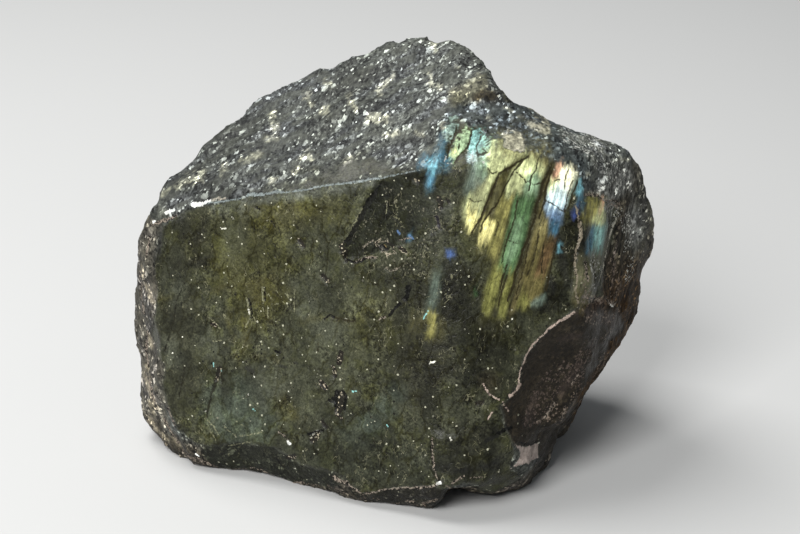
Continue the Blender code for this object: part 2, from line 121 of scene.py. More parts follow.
# ---------------------------------------------------------------------------
# The flash: thin layers in the feldspar, the lamellae, throw back blue, green
# and gold light from a part of the window. Long cracks run along them. That
# thrown-back light is painted into the stone's colour, a painted reflection.
# ---------------------------------------------------------------------------
# Each area is its tone, cover, soft edge and outline; each crack its half width and its corners.
# The corners are x and z by turns.
FLASH_MARGIN = 0.2
FLASH_AREAS = [
    # the dim glow between the long cracks
    ("dim_olive", 0.75, 1.2, (
        13.1, 55.1, 15.8, 57, 21.4, 56.3, 24.9, 54.8, 20.6, 39.8, 18, 31.7, 14.6, 32.5, 15.7, 39.5,
        14.4, 42.5, 12.4, 44.7, 11.4, 49.8,
    )),
    # the small facets at the top corner
    ("facet_grey", 0.92, 0.12, (8, 58.2, 8.5, 58.8, 9.9, 59.3, 10.7, 58.9, 10.3, 58.1, 8.8, 57.7)),
    ("blue", 0.55, 0.5, (6.8, 56.1, 7.9, 57.5, 8.5, 57.2, 7.9, 56)),
    ("leaf_green", 0.92, 0.12, (
        9.1, 56, 9.6, 57, 10.4, 57.9, 11.3, 58.3, 12.8, 58.4, 12, 56.9, 10.8, 56.1, 9.9, 55, 9.2, 55.3,
    )),
    ("cream", 0.6, 0.3, (9.4, 56.4, 10.2, 57.1, 10.6, 56.6, 9.9, 55.9)),
    ("pale_teal", 0.92, 0.12, (12.9, 58.4, 14.1, 58, 15.7, 57.2, 15.2, 55.6, 13.5, 55.4, 12, 56.2)),
    ("mint", 0.9, 0.35, (14.2, 56.9, 16.3, 57.1, 15.4, 55.4, 14.2, 55.6)),
    ("lime", 0.7, 0.3, (15.1, 56.6, 15.9, 57, 15.9, 55.8, 15.3, 55, 14.8, 55.5)),
    ("ice", 0.95, 0.25, (11.9, 55.7, 12.8, 56, 13.7, 55.7, 14.7, 56, 15, 55.5, 13.6, 55.2, 12.6, 55.1)),
    ("blue", 0.8, 0.4, (7.1, 55.4, 7.6, 55.9, 8.7, 56, 9.6, 55.3, 9.1, 54.8, 8.1, 54.7)),
    ("blue", 0.85, 0.4, (
        4.7, 55.1, 5.6, 55.4, 6.4, 55.3, 7.2, 55.4, 7.2, 54.3, 6.9, 52.7, 6.2, 51.2, 5.5, 51.5, 5.8, 53.3,
        5.5, 54.6, 4.4, 54.8,
    )),
    ("cyan", 0.8, 0.35, (5.6, 55.2, 6.5, 55.2, 7.2, 55.2, 6.8, 53.5, 6.3, 53.8)),
    ("haze_teal", 0.8, 0.7, (12.8, 55.7, 15.1, 55.3, 15, 52.6, 14.1, 50.1, 12.1, 50.2, 11.7, 51.7)),
    ("mint", 0.5, 0.7, (13.6, 55.8, 15.7, 56.2, 15.9, 54.9, 14.4, 53.4, 13.5, 54.3)),
    # the first yellow band and its bright feet
    ("yellow", 0.85, 0.35, (
        15.8, 57.1, 19.3, 56.7, 21.2, 55.8, 20.3, 55, 18.3, 54.6, 16.7, 53.4, 15.5, 50.9, 14.3, 47.9,
        13.1, 45.8, 12.4, 44.7, 11.7, 46.1, 11.3, 48.8, 11.5, 50.1, 13, 50.7, 14.5, 52.2, 15.4, 53.9,
        15.2, 55.4,
    )),
    ("gold", 0.6, 0.5, (17, 57.2, 21.1, 56.1, 20.2, 55.2, 17.7, 55.7)),
    ("khaki", 0.65, 0.8, (13.2, 52.6, 15.2, 52.6, 14.6, 49.2, 12.7, 49.4)),
    ("cream", 0.95, 0.4, (11.9, 48.8, 13.2, 48.4, 14, 47.2, 12.9, 45.1, 12.2, 44.8, 11.8, 46.3)),
    ("gold_olive", 0.85, 0.5, (16, 46.7, 18, 45.3, 17.6, 43.2, 16.4, 41.8, 14.8, 42.7)),
    ("cream", 0.98, 0.35, (
        14.6, 47, 15.8, 46.5, 16.1, 45.5, 15.6, 43.9, 14.9, 42.9, 14, 42.8, 13.7, 43.9, 14.1, 45.5,
    )),
    # the strip between the cracks
    ("olive", 0.9, 0.25, (
        21.1, 55.5, 19.6, 54.7, 17.1, 53.5, 15.7, 51.4, 14.6, 48.2, 14.7, 46.6, 15.9, 46.6, 17.1, 49,
        18, 51.6, 19.4, 53.5, 21.1, 54.9,
    )),
    ("khaki", 0.3, 0.5, (16.4, 51.6, 17.4, 51.6, 16.4, 47.6, 15.2, 47.6)),
    # the second yellow band
    ("yellow", 0.85, 0.35, (
        18.8, 53.5, 20.1, 54.3, 21.5, 55.5, 23.4, 55.3, 24.5, 54.3, 24, 52.5, 22.7, 52.6, 21.3, 51.7,
        20.5, 50.2, 19.2, 49.9, 17.9, 49.9, 18.1, 51.6,
    )),
    ("gold", 0.65, 0.5, (22, 56.1, 25, 55, 24.4, 53.4, 23.2, 54, 21.7, 54.7)),
    ("lime", 0.85, 0.4, (20.1, 54.2, 22.5, 54.1, 22.2, 52, 20.5, 52.1)),
    ("gold_olive", 0.85, 0.4, (17.5, 50.2, 19.3, 49.6, 18.4, 45.4, 16.5, 46.4, 16.6, 48.1)),
    # the green band
    ("green", 0.9, 0.4, (
        19.5, 49.9, 20.9, 50.2, 22.8, 49.6, 21.7, 45.4, 20.7, 41.8, 19.3, 38.3, 17.7, 38.6, 16.7, 39.3,
        17.9, 42.7, 18.6, 46.5,
    )),
    ("mint", 0.35, 0.6, (19.4, 46, 20.6, 45.6, 20, 42, 18.6, 39.5, 18, 40.7)),
    ("mint", 0.85, 0.35, (21.5, 53, 22.9, 52.7, 23.6, 52, 22.9, 49.6, 21.2, 49.8, 20.9, 51.2)),
    # the two tongues below
    ("olive_green", 0.9, 0.4, (
        16.1, 39.3, 17.3, 39.3, 17.7, 37.8, 16.8, 34.6, 15.8, 32.5, 14.6, 32.5, 14.5, 34.4, 15.1, 37.2,
    )),
    ("olive_green", 0.95, 0.35, (
        18.6, 38.5, 19.8, 38.1, 18.6, 34.5, 18.1, 32.1, 16.7, 31.6, 16.8, 33.6, 17.9, 36.2,
    )),
    ("gold_olive", 0.7, 0.5, (15.6, 42.5, 17.4, 43.1, 16.8, 39.6, 16, 40.4)),
    # the brightest column, rosy at its head and blue at its foot
    ("brown_shade", 0.7, 0.4, (
        25.4, 54.3, 25.8, 54.2, 24.7, 50.3, 23.7, 46.7, 22.1, 41.3, 21, 36.7, 19.9, 32.7, 18.7, 32.5,
        20.1, 38, 21.9, 43.3, 23.4, 47.8, 24.1, 50.5,
    )),
    ("brown_black", 0.25, 0.35, (
        24.8, 53.6, 25.3, 53.5, 24.6, 50.4, 23.4, 47.2, 22.4, 43.2, 20.6, 38.8, 19.2, 34.3, 19, 34.4,
        20.2, 38.9, 21.8, 43.4, 23.2, 47.9, 23.8, 50.6,
    )),
    ("rose", 0.9, 0.3, (25.3, 52, 26.1, 53.9, 27, 54.1, 27.3, 53.3, 26.7, 51.5, 25.8, 51.5)),
    ("white_hot", 0.95, 0.3, (
        27.1, 53.4, 28.6, 53.2, 29.5, 52.2, 28.8, 50.6, 28, 49.4, 26.2, 50.8, 26.3, 51.7,
    )),
    ("lime", 0.8, 0.35, (25.3, 51.8, 26.5, 51.5, 26, 50.1, 24.9, 50.4)),
    ("ice", 0.95, 0.45, (25, 50.4, 26.4, 50.7, 27.9, 50, 27.8, 48.3, 27, 47.1, 25.6, 47.1, 24.5, 48.4)),
    ("periwinkle", 0.9, 0.5, (24.5, 48.4, 25.7, 47.4, 27.3, 47.3, 26.7, 45.3, 25.3, 44.8, 24.7, 46.4)),
    ("deep_teal", 0.9, 0.4, (25.1, 45.4, 26.7, 45.5, 26.2, 43.6, 25, 43.7, 24.8, 44.7)),
    # the gold and tan column
    ("gold", 0.9, 0.4, (23.9, 47, 24.9, 46.3, 24.8, 44.3, 24.2, 42.6, 22.8, 43.2)),
    ("tan", 0.95, 0.35, (
        22.7, 43.7, 25.7, 43.4, 25.2, 39.2, 24.2, 35.1, 23.2, 33.3, 21.7, 32.9, 20.1, 33, 20.5, 35.9,
        21.7, 40.4,
    )),
    ("russet", 0.8, 0.5, (24.4, 43.1, 26, 42.7, 25.1, 39.2, 24.4, 37.5, 22.9, 38)),
    ("olive_green", 0.85, 0.35, (20.5, 35.4, 21.9, 34.6, 22.2, 33.3, 20.9, 32.5, 19.9, 33.1)),
    ("grey_teal", 0.9, 0.3, (22.1, 33.7, 24, 34.4, 24.4, 33.9, 23.8, 33.1, 22.2, 32.7)),
    # the cyan corner at the window's right edge
    ("cyan", 0.75, 0.3, (29.6, 50.9, 30.4, 50.3, 30.5, 49.4, 29.5, 49.1, 29.2, 49.7)),
    ("grey_teal", 0.8, 0.3, (29, 51.8, 29.6, 51.4, 28.9, 49.9, 27.9, 47.8, 28, 49.2)),
    ("blue", 0.55, 0.5, (29.6, 49, 30.8, 48.3, 30.4, 47.3, 29.5, 47.7)),
    ("deep_blue", 0.85, 0.3, (28.6, 46.8, 29.5, 47.5, 29.7, 45.8, 29, 45.4)),
    # the second patch, on its raised plate
    ("gold_olive", 0.85, 0.35, (31.3, 48.5, 33.3, 47.1, 32.6, 43.6, 30.6, 44.4, 30.3, 46.3)),
    ("rose", 0.85, 0.25, (33.4, 47.1, 34, 46.7, 33.6, 45.4, 32.9, 45.4)),
    ("gold_olive", 0.6, 0.4, (31.4, 47.8, 32.5, 47.2, 32.2, 44.9, 30.9, 44.6, 30.8, 46)),
    ("yellow", 0.85, 0.35, (32.7, 45.9, 33.9, 45.5, 34.4, 43.1, 33, 42.7, 31.7, 44.4)),
    ("blue", 0.75, 0.35, (31.8, 43.7, 32.7, 43.3, 31.7, 39.5, 30.8, 39.8, 30.8, 41.7)),
    ("pale_teal", 0.85, 0.4, (32.5, 43.4, 34.6, 42, 33.8, 38.5, 31.7, 39.7)),
    ("khaki", 0.5, 0.6, (29.6, 39.6, 33.1, 37.1, 31.6, 32.7, 28.7, 34.4)),
    ("tan", 0.7, 0.5, (29.1, 34.2, 31.5, 32.6, 31, 31.1, 29.1, 32.8)),
    # lone strips and specks
    ("grey_teal", 0.45, 0.7, (6.7, 38.8, 7.9, 38.6, 7, 33.1, 5.6, 33.3)),
    ("gold_olive", 0.85, 0.3, (5.9, 32.9, 7, 32.7, 7.1, 30.7, 6.6, 28.5, 5.7, 29, 5.6, 30.9)),
    ("olive", 0.5, 0.6, (3.2, 32.1, 5.6, 32.5, 4.8, 29.5, 2.9, 29.7)),
    ("olive", 0.5, 0.6, (7.6, 32, 8.6, 31.4, 8.1, 28.5, 6.6, 28.3)),
    ("sky", 0.9, 0.25, (8.5, 41.7, 9.3, 41.9, 9.7, 41.3, 9, 40.8, 8.5, 41.1)),
    ("blue", 0.6, 0.3, (2.3, 43.7, 2.9, 44.1, 3.1, 43.5, 2.7, 43.2)),
    ("green", 0.8, 0.25, (13, 36.1, 13.6, 36.3, 13.7, 35.7, 13, 35.6)),
    ("cyan", 0.8, 0.2, (26.5, 42.1, 26.7, 41.9, 26.6, 40.5, 26.2, 40.4)),
]
FLASH_CRACKS = [
    (0.12, 21.6, 55.4, 19.7, 54.6, 17, 53.4, 15.6, 50.4, 14.1, 47, 12.7, 44.9),
    (0.1, 21.3, 55.3, 19.3, 53.6, 18, 51.6, 16.8, 49.1, 14.4, 46.4, 14.1, 44.8),
    (0.14, 25.4, 54, 24.7, 52.6, 23.8, 51.2, 23.7, 49.7, 22.9, 48.2, 22.8, 46.4, 22, 44.9, 21.9, 43.4, 20.8,
     41.7, 20.5, 39.8, 19.6, 38.2, 19.3, 36.3, 18.5, 34.1),
    (0.1, 25.3, 52.9, 24.5, 50.8, 24.3, 48.7, 23.4, 46.2),
    (0.07, 21.7, 42.4, 21.2, 39.6, 20.2, 36.6, 19.8, 34.1),
    (0.07, 19.9, 49.4, 19.4, 46.2, 17.9, 42.3, 17.5, 39.9), (0.06, 21.6, 51.9, 22.5, 51.3, 23.5, 51.5),
    (0.06, 15.1, 54.4, 15.9, 53.5, 16.8, 53.6), (0.03, 12, 50, 13.1, 49.5, 14.3, 49.5),
    (0.06, 23.4, 44.4, 22.8, 41, 21.5, 37.5), (0.07, 28.1, 52.9, 27.5, 51.6, 27.5, 50.3),
    (0.105, 12.8, 58.4, 12.2, 56.8, 10.9, 55.9, 10, 55),
    (0.105, 10.4, 58.8, 10.2, 58, 9.1, 56.9, 8.9, 55.6), (0.07, 10.8, 57.8, 10.6, 56.6),
    (0.07, 14.3, 57.7, 13.4, 56.6, 13.7, 55.7), (0.1, 10.1, 58.2, 11, 58.5),
    (0.08, 23.3, 55.1, 22.8, 53.3, 22.1, 52.6, 21.7, 50.4), (0.08, 18.3, 38, 17.5, 35.9, 16.9, 33.5),
    (0.08, 18.3, 39.6, 17.1, 36), (0.04, 24.4, 48.8, 25.8, 48, 27.2, 46.9),
    (0.03, 18.1, 43.4, 19.9, 42.6, 21.2, 42.6), (0.08, 28.8, 51.4, 27.9, 49.2, 27.5, 46.8),
    (0.08, 29.5, 51.1, 28.7, 49.3, 28, 47.2), (0.07, 24.1, 42.1, 23.8, 38.3, 23.9, 37.7),
    (0.06, 16.3, 44.2, 16.9, 45.6, 16.7, 46.5), (0.08, 25.8, 51.5, 26.7, 51.7),
    (0.08, 14.5, 56.5, 15.1, 56.1, 13.8, 55.9), (0.09, 26.1, 41.9, 25.2, 38.2, 24.6, 35),
    (0.07, 19.8, 53.4, 20.8, 52.4, 21.3, 51.7),
]


def near_flash(places):
    """Which places lie in a flash or at its edge."""
    near = np.zeros(len(places), bool)
    for tone_name, cover, soft, outline in FLASH_AREAS:
        near |= depth_within(places, outline) > -FLASH_MARGIN
    return near


# ---------------------------------------------------------------------------
# The marks: pits, cracks, scratches and crumbs, where the face has worn or broken;
# bright specks and glints, which are painted glints; the pale line along the
# ridge, a painted highlight; the pink seam round the scar, pink with a painted
# highlight; and painted highlights and shade at small steps, ledges and hollows.
# ---------------------------------------------------------------------------
# Each kind is its tone, cover, crumbling, widening and strokes; a stroke is its half width and its
# corners, x and z by turns. Crumbling of 1 or more means loose grains; the part over 1 is the share
# of the stroke that they leave bare.
SCATTERED = 1.0
MARKS = {
    "pit": ((0.5, 0.44, 0.31), 0.96, 0.92, 1.6, [
        (0.29, 7.5, 50.1, 7.8, 48.7), (0.19, 8.8, 49.8, 9.1, 49.5), (0.21, 3.7, 52.4, 4.2, 52.2),
        (0.22, -14.9, 40.4, -14.2, 39.5), (0.26, -11, 35.4, -10.3, 34.8), (0.24, -8, 40.7, -7.6, 39.2),
        (0.15, -7.7, 39, -7.2, 38.3), (0.21, -9.2, 20.8, -9.1, 20),
        (0.38, -8.1, 17.4, -8.3, 16.1, -8.6, 14.7), (0.22, -11.2, 12.4, -10.6, 11.8),
        (0.31, -12.9, 9.2, -11.9, 10.3), (0.21, 13.7, 18.8, 14.5, 18.9), (0.22, -28.4, 17.8, -28.9, 15.9),
    ]),
    "black": ((0.03, 0.029, 0.024), 0.95, 0.92, 1.45, [
        (0.11, -1.9, 51, -4, 47.9, -5.3, 45.1, -6.4, 42.8, -7.6, 41), (0.19, 7.4, 46.9, 7.4, 46.1),
        (0.15, -21.8, 44.3, -21.3, 44.2), (0.15, -18.8, 22.2, -18.1, 22.2),
        (0.14, -7.4, 38.6, -5.6, 38.4, -4, 39.3), (0.13, -28.3, 0, -28, -0.1),
        (0.26, 2.7, 35.9, 2.5, 34.9, 2.2, 34), (0.15, 1.4, 33.2, 0.4, 32.1, -0.5, 30.9),
        (0.14, -11.7, 18.8, -10.4, 17.9), (0.26, -8.8, 17.6, -9.1, 16.2), (0.22, -7.5, 16.5, -7.6, 15.2),
        (0.26, -7.8, 17.7, -7.5, 17), (0.22, -9.4, 16.3, -8.9, 15.2), (0.14, -10.1, 16.1, -9.8, 15.8),
        (0.14, -13.6, 10, -11.2, 11.1), (0.12, -10.8, 28.8, -9.9, 29.5, -9.2, 29.3),
        (0.14, -19, 4.3, -18.5, 3.6), (0.1, -23.4, 29.8, -22.9, 28.5, -22.8, 26.9),
        (0.09, -20.7, 32, -20.6, 30), (0.15, -1.8, 41.7, -0.5, 41.1),
        # the stroke at x 6.3 is painted shadow beside the step at the foot; the strokes from x 16.8 to 19.2
        # are painted shade in the notch
        (0.09, 6.3, 12.8, 6.3, 10.9, 6.5, 9.1), (0.24, 16.8, 13.8, 18.2, 14.3),
        (0.17, 18.2, 14.3, 19.2, 14.3), (0.1, 20.5, 11.5, 22.3, 9.4, 23.6, 8.6),
    ]),
    "scratch": ((0.24, 0.235, 0.14), 0.7, 0.1, 1, [
        (0.09, -4.5, 47.1, -5.3, 45.6, -6.3, 43.6), (0.11, -23.7, 29.8, -23.3, 28.3, -23.1, 26.7, -24, 25),
        (0.1, -21.1, 32, -20.9, 30.3, -20.9, 28.4), (0.09, -21.1, 31.8, -20.1, 30.7),
        (0.09, -15.6, 32.7, -15.8, 30.5, -15.6, 28.8), (0.08, -30.7, 26, -29.4, 25.3, -28.2, 24.2),
        (0.09, -29.4, 21.9, -27.9, 22.4), (0.1, -22.1, 22.4, -21, 23), (0.08, -20.1, 31, -19.1, 30.3),
        (0.08, -18.7, 31.9, -17.7, 30.9), (0.08, -19.4, 29.6, -18.1, 29.9),
        (0.08, -17.7, 30.5, -16.8, 29.7), (0.08, -17.2, 31.8, -16.6, 31), (0.08, -20.1, 29.3, -20.1, 27.2),
        (0.1, -30.9, 9.2, -29.7, 8.5, -28.7, 7), (0.09, -30.1, 7.4, -29.1, 6),
        (0.08, -25.6, 9.9, -24.3, 9.2), (0.08, -25, 7.4, -21.2, 8.8), (0.08, -27, 5.2, -23.3, 6.7),
        (0.08, -28, 8.8, -25.6, 7.3), (0.08, -31.8, 7.7, -30.8, 6.3),
        (0.08, -1.1, 48.6, -0.8, 47.5, -1, 46.5), (0.08, 0.4, 46.4, 1.4, 45.7),
    ]),
    # painted shade: along the left step of the dark chip, and beside the notch at the foot
    "shade": ((0.012, 0.012, 0.01), 0.8, 0, 1.2, [
        (0.26, -2.6, 49.6, -4.3, 46.8, -5.8, 43.6, -7.1, 41.1), (0.31, 15, 13, 16.8, 13.5),
    ]),
    "violet": ((0.014, 0.011, 0.018), 0.85, 0, 1.2, [
        (0.29, 7.2, 47.2, 7.5, 45.7),
    ]),
    "grey": ((0.026, 0.026, 0.022), 0.7, 0.2, 1.2, [
        (0.19, -15.8, 21, -15.3, 21), (0.21, -18.1, 20.1, -17.1, 20), (0.38, -23.5, 18.7, -22.8, 18.3),
    ]),
    "crumb": ((0.26, 0.215, 0.17), 0.88, 0.45, 1.2, [
        (0.15, -6, 38.4, -5, 38.8, -3.7, 39.5, -2.3, 39.7), (0.12, -0.8, 30.8, -2, 30.2),
        (0.11, -18.4, 9.4, -17.2, 8.8, -16.6, 7.8), (0.09, -4.7, 40.7, -4, 41.6, -3.1, 42.1),
        (0.12, -0.8, 38.3, 0.1, 37.9, 1.4, 38.9), (0.1, 1.1, 42.9, 3, 43.5),
        (0.26, 24.6, 13.8, 25.4, 14.7, 26.4, 15.8), (0.17, 28.1, 14.7, 27.8, 13),
        (0.13, 24.7, 13.9, 23, 13.5), (0.19, 29.2, 18.4, 30.2, 19.6),
        (0.12, -4.6, 1.9, -1.8, 3.3, 1.4, 4.3, 4.6, 5.1, 7.3, 6), (0.24, 2.5, 1.6, 3.6, 1.6),
        # the second stroke on the line below, from x 6.6 to 7.3, is a painted highlight on the lit edge of
        # the step at the foot
        (0.29, 5.2, 1.4, 7.1, 2.9), (0.13, 6.6, 13.1, 6.6, 11.4, 6.8, 10, 6.8, 8.8, 7.3, 7),
        (0.15, 9.6, 6.4, 10.9, 7.3, 11.5, 7.6), (0.1, 12.5, 7.4, 14.4, 7.3), (0.12, 8.7, 5.8, 11.3, 3.7),
        (0.31, -16.4, -0.3, -14.7, 0.6), (0.15, -20.4, 0.5, -17.8, 0.1),
        (0.14, -23.5, 1.2, -21.5, 1.1, -20.4, 0.5), (0.34, -9.3, 3.7, -7.3, 3.3),
        (0.15, -7.3, 3.3, -4.7, 2.1), (0.26, -34.6, 1.4, -32.6, 1.9, -30.9, 1.2),
        (0.19, -30.9, 1.2, -28.3, -0.1, -24.2, 0.5), (0.22, -38.4, 6, -37.3, 4.8, -35.9, 2.9),
        (0.17, -37.4, 9.3, -36.4, 6.8), (0.17, -41.1, 19.8, -41.7, 15.9, -41.3, 13.6),
        (0.21, -40.9, 12.3, -40.4, 10.4, -39.7, 7.7), (0.14, -42.2, 29.8, -42.3, 25.6, -41.9, 22.7),
        (0.14, -40.2, 36.4, -41, 33.5), (0.17, -40.2, 38.2, -38, 39.5, -35.6, 40.9),
        (0.17, 30.9, 48.7, 32.4, 48, 34.5, 46.5, 37.3, 43.7), (0.19, 34.9, 45.4, 36.8, 43.4),
        (0.22, 30.5, 33.2, 31.9, 31.9, 33.7, 30.6), (0.12, 30.7, 38.7, 31.1, 35.7),
        (0.11, 32.6, 36.8, 32.2, 34.3), (0.17, 34.9, 30.2, 36.9, 27.6),
    ]),
    "rot": ((0.4, 0.34, 0.25), 0.95, 0.88, 1.25, [
        (0.39, -8.1, 23.8, -8.4, 22.3), (0.17, -9.6, 21.5, -9.1, 21.3), (0.43, -11.2, 18.5, -10.7, 18),
        (0.14, -8.1, 15.8, -8, 15), (0.21, -8.9, 14.1, -8, 13.6), (0.34, -17, 4.9, -15.9, 5.8),
        (0.21, -29.7, 24.8, -29, 24.7), (0.13, -2.7, 41.8, -1.8, 42.4, -0.2, 42.1, 0.6, 41),
        (0.14, -2.7, 41.8, -1.8, 41, -0.5, 40.5, 0.6, 40.8), (0.29, 1.4, 41.7, 2.3, 41.2),
    ]),
    "brown": ((0.022, 0.018, 0.008), 0.8, 0, 1.2, [
        (0.14, -9.2, 29.3, -7.4, 29.1, -5.8, 29.2), (0.1, -11.8, 24.9, -12, 23.3),
    ]),
    "white": ((0.85, 0.85, 0.8), 0.97, 0, 1.05, [
        (0.21, -16.9, 8.2, -16.6, 7.8), (0.14, 14.1, 18.8), (0.21, 7.4, 6.3, 7.9, 6.4),
        (0.14, -32.5, 3, -32, 2.6), (0.26, -32.6, 42.9, -31.1, 43.4), (0.17, -31.1, 43.4, -29.6, 44.1),
        (0.21, -37.3, 40.8, -36.5, 41.2), (0.12, -39.7, 38.7, -39.3, 39.1), (0.1, 35.7, 28.9, 36.3, 27.7),
    ]),
    "crack": ((0.014, 0.013, 0.007), 0.85, 0.1, 1.1, [
        (0.27, -28.9, 15.9, -29.6, 14), (0.17, -29.6, 14, -30.2, 11.8, -30.6, 9.5),
        (0.19, -28.4, 17.1, -27.9, 15.9), (0.1, -34.3, 17, -34.8, 14.6, -35.4, 11.9),
        (0.1, -34.3, 30.4, -35.7, 27.4, -36.1, 24.5, -37.2, 20.7, -37.9, 18.6),
    ]),
    # painted glints: small bright specks where tiny cracks in the window catch the light
    "bright": ((0.85, 0.83, 0.7), 0.95, 0, 1.1, [
        (0.13, -23.3, 28.1, -23.3, 27.5), (0.11, -4.3, 36.3), (0.1, -27.9, 40.3, -27, 40.2),
        (0.11, -26, 42.2, -25.7, 42.1), (0.09, -36.5, 32.4), (0.12, -36.5, 18.7), (0.09, -31.8, 18),
        (0.13, 6.1, 24.7, 6.9, 25.1), (0.09, 15.1, 26.1), (0.11, 19.1, 31.3), (0.1, -1, 6.4),
        (0.09, -3.9, 7.9), (0.09, 9.3, 13.6, 9.6, 13.1), (0.09, -20, 36.1), (0.09, -34.5, 21.8),
        (0.09, -31.1, 10.3), (0.09, -16.7, 16.3), (0.09, -12.4, 20.4), (0.09, 2.5, 49, 2.7, 48.8),
        (0.09, -16, 40.5), (0.09, -26.6, 36.1), (0.09, -7.4, 29.4), (0.09, -18.6, 21.5), (0.1, -15.8, 3.3),
        (0.09, -22.5, 17.6), (0.09, -23.5, 14.5), (0.09, -24.3, 19.5), (0.12, 23.9, 8.3),
    ]),
    # painted reflection: small cyan flashes of the lamellae; the last stroke is a painted glint beside the
    # lone gold strip
    "cyan": ((0.3, 0.62, 0.58), 0.9, 0, 0.9, [
        (0.1, -0.8, 14, -0.5, 13.7), (0.1, -22.7, 12.3, -22.2, 11.9), (0.09, -6.3, 18.2, -5.7, 18.3),
        (0.09, -29.4, 18.6, -29.3, 17.9), (0.09, -28.4, 17.6, -28.1, 17.4), (0.08, 21.5, 9.5, 22.3, 9),
        (0.12, 5.2, 31.4, 5.8, 32.7),
    ]),
    "gold": ((0.33, 0.24, 0.1), 0.9, 0.1, 1, [
        (0.1, -1.5, 41.7, -1, 41.5),
    ]),
    # painted reflection: two small blue flashes of the lamellae
    "blue": ((0.1, 0.18, 0.33), 0.75, 0, 1.2, [
        (0.17, 0.9, 44.2, 1.1, 43.8), (0.17, 2.8, 43.8, 3.3, 43.4),
    ]),
    # the pink seam round the scar: the broken edge's own pale pink, brightened as a painted highlight where
    # the lip catches the light
    "pink": ((0.44, 0.345, 0.285), 0.95, 0.1, 1.1, [
        (0.13, 14.5, 21.7, 15.2, 20.6, 16, 19.6, 17.1, 19), (0.09, 16, 17.3, 15.3, 16.1),
        (0.08, 17.6, 18.7, 18.5, 17), (0.21, 29.1, 31.1, 27.8, 30.5, 26.8, 30.1),
        (0.15, 26.8, 30.1, 24.9, 28.9, 23.6, 27.8), (0.13, 23.6, 27.8, 22.3, 26.6, 21.4, 25.2),
        (0.15, 21.4, 25.2, 21.1, 24.1), (0.1, 20.8, 23.8, 20.3, 22.3, 20.1, 20.7),
        (0.22, 20.5, 20.7, 19.7, 19.8, 18.8, 19.3),
    ]),
    "pale": ((0.33, 0.3, 0.24), 0.75, 0.1, 1, [
        (0.1, -1.8, 3.3, 0.4, 4.1, 2.7, 4.7), (0.11, -29.6, 44.1, -27.2, 44.9),
    ]),
    # painted highlight: the pale line where the edge of the ridge catches the light
    "ridge": ((0.225, 0.262, 0.258), 0.72, 0, 0.8, [
        (0.11, -30.6, 43.5, -27.2, 44.5, -23.8, 45.6), (0.18, -23.5, 45.8, -21, 46.4),
        (0.13, -21, 46.4, -16.3, 47.6), (0.12, -16.3, 47.6, -14.7, 48, -9.8, 49.6, -6.6, 50.3, -1.8, 51.8),
        (0.1, -1.8, 51.8, 1.4, 53, 4.5, 54),
    ]),
    # painted highlight: the ragged right edge of the raised plate, where it catches the light
    "edge": ((0.42, 0.4, 0.32), 0.9, 0.3, 1.3, [
        (0.15, 37, 43.2, 36.5, 41.4, 35.6, 39.9, 34.9, 37.1, 34.4, 35.1, 33.5, 33.7),
    ]),
    # painted glints: loose bright crystals catching the light on the shelf, the plate's side, the flash and
    # the window's foot
    "glints": ((0.5, 0.5, 0.45), 0.9, 1.82, 1, [
        (0.77, 34.5, 45.9, 36.2, 43.2, 35.7, 41.9), (0.69, 31.8, 38.2, 33.3, 35.1, 32.6, 34.2),
        (1.03, 37.7, 42.2, 39.4, 38.4, 38.9, 36.4), (0.77, 39.7, 33.6, 39.1, 30.2),
        (0.6, 28, 56, 30.4, 55.1, 33.8, 53.2), (0.86, 32.8, 53, 35.4, 50, 37.5, 47.8),
        (0.43, 11.8, 56.1, 13, 55.6, 14.6, 55), (0.34, 8.6, 55.4, 9.5, 54.8),
        (0.43, -12.9, 9.5, -11.9, 10.6),
    ]),
    "dusting": ((0.21, 0.162, 0.125), 0.85, 1.83, 1, [
        (0.51, 30.4, 36.7, 31.2, 33.5), (0.69, 30.5, 32.9, 33, 31.1, 34.9, 29.8),
        (1.2, 31.8, 11.9, 34.8, 10.3, 35, 18.8), (1.03, 27.3, 12.1, 29.2, 14.7, 30.6, 16.8),
        (0.86, 25.2, 13.5, 26.6, 15.1), (0.86, 31.9, 29.4, 35.4, 25.8, 37.3, 25.9),
        (0.69, 34.7, 23.2, 36.2, 23.5), (0.77, 36, 35.1, 37.1, 31.4, 36.1, 29.2),
        (0.43, -32, 1.2, -27.9, -0.2, -23.5, 0), (0.43, -21.5, 0.2, -16.4, -0.4, -12, 0.9),
        (0.43, -10, 1.7, -6.4, 0.8, -1.8, 1.3), (0.34, 0.1, 0.5, 4.6, 0.8, 9.2, -0.3),
        (0.43, -35.6, 1.9, -33.1, 1.2),
    ]),
    "scardust": ((0.105, 0.078, 0.064), 0.85, 1.8, 1, [
        (1.71, 31.8, 23.5, 29.5, 19.3), (2.06, 27.1, 20.9, 24.7, 18.1, 23, 14.9),
    ]),
    # painted highlight: the pale line along the left ledge of the raised plate
    "ledge": ((0.23, 0.195, 0.14), 0.85, 0.2, 1, [
        (0.16, 29.3, 47.5, 29.8, 45.1, 30, 42.6, 29.3, 40.8, 29.1, 38.7, 29.4, 36.8, 29.1, 34.7, 29.6,
         32.5),
    ]),
    # small bright crumbs in and beside the dark chip, with painted glints among them
    "sparkle": ((0.24, 0.225, 0.16), 0.85, 1.975, 1, [
        (1.89, 0.1, 49.4, 3.3, 48.4, 6.4, 46.6), (1.37, -3.4, 44.3, -1.1, 43.8, -5, 41.9),
        (1.71, -0.8, 39.2, 3, 39.8, 6.1, 42.7),
    ]),
}


def near_marks(places, reach):
    """Which places lie close to a mark or a crack; loose grains are left out."""
    near = np.zeros(len(places), bool)
    lined = [kind[-1] for kind in MARKS.values() if kind[2] < SCATTERED]
    for half_width, *line in sum(lined, []) + FLASH_CRACKS:
        near |= distance_to(places, line) < half_width + reach
    return near


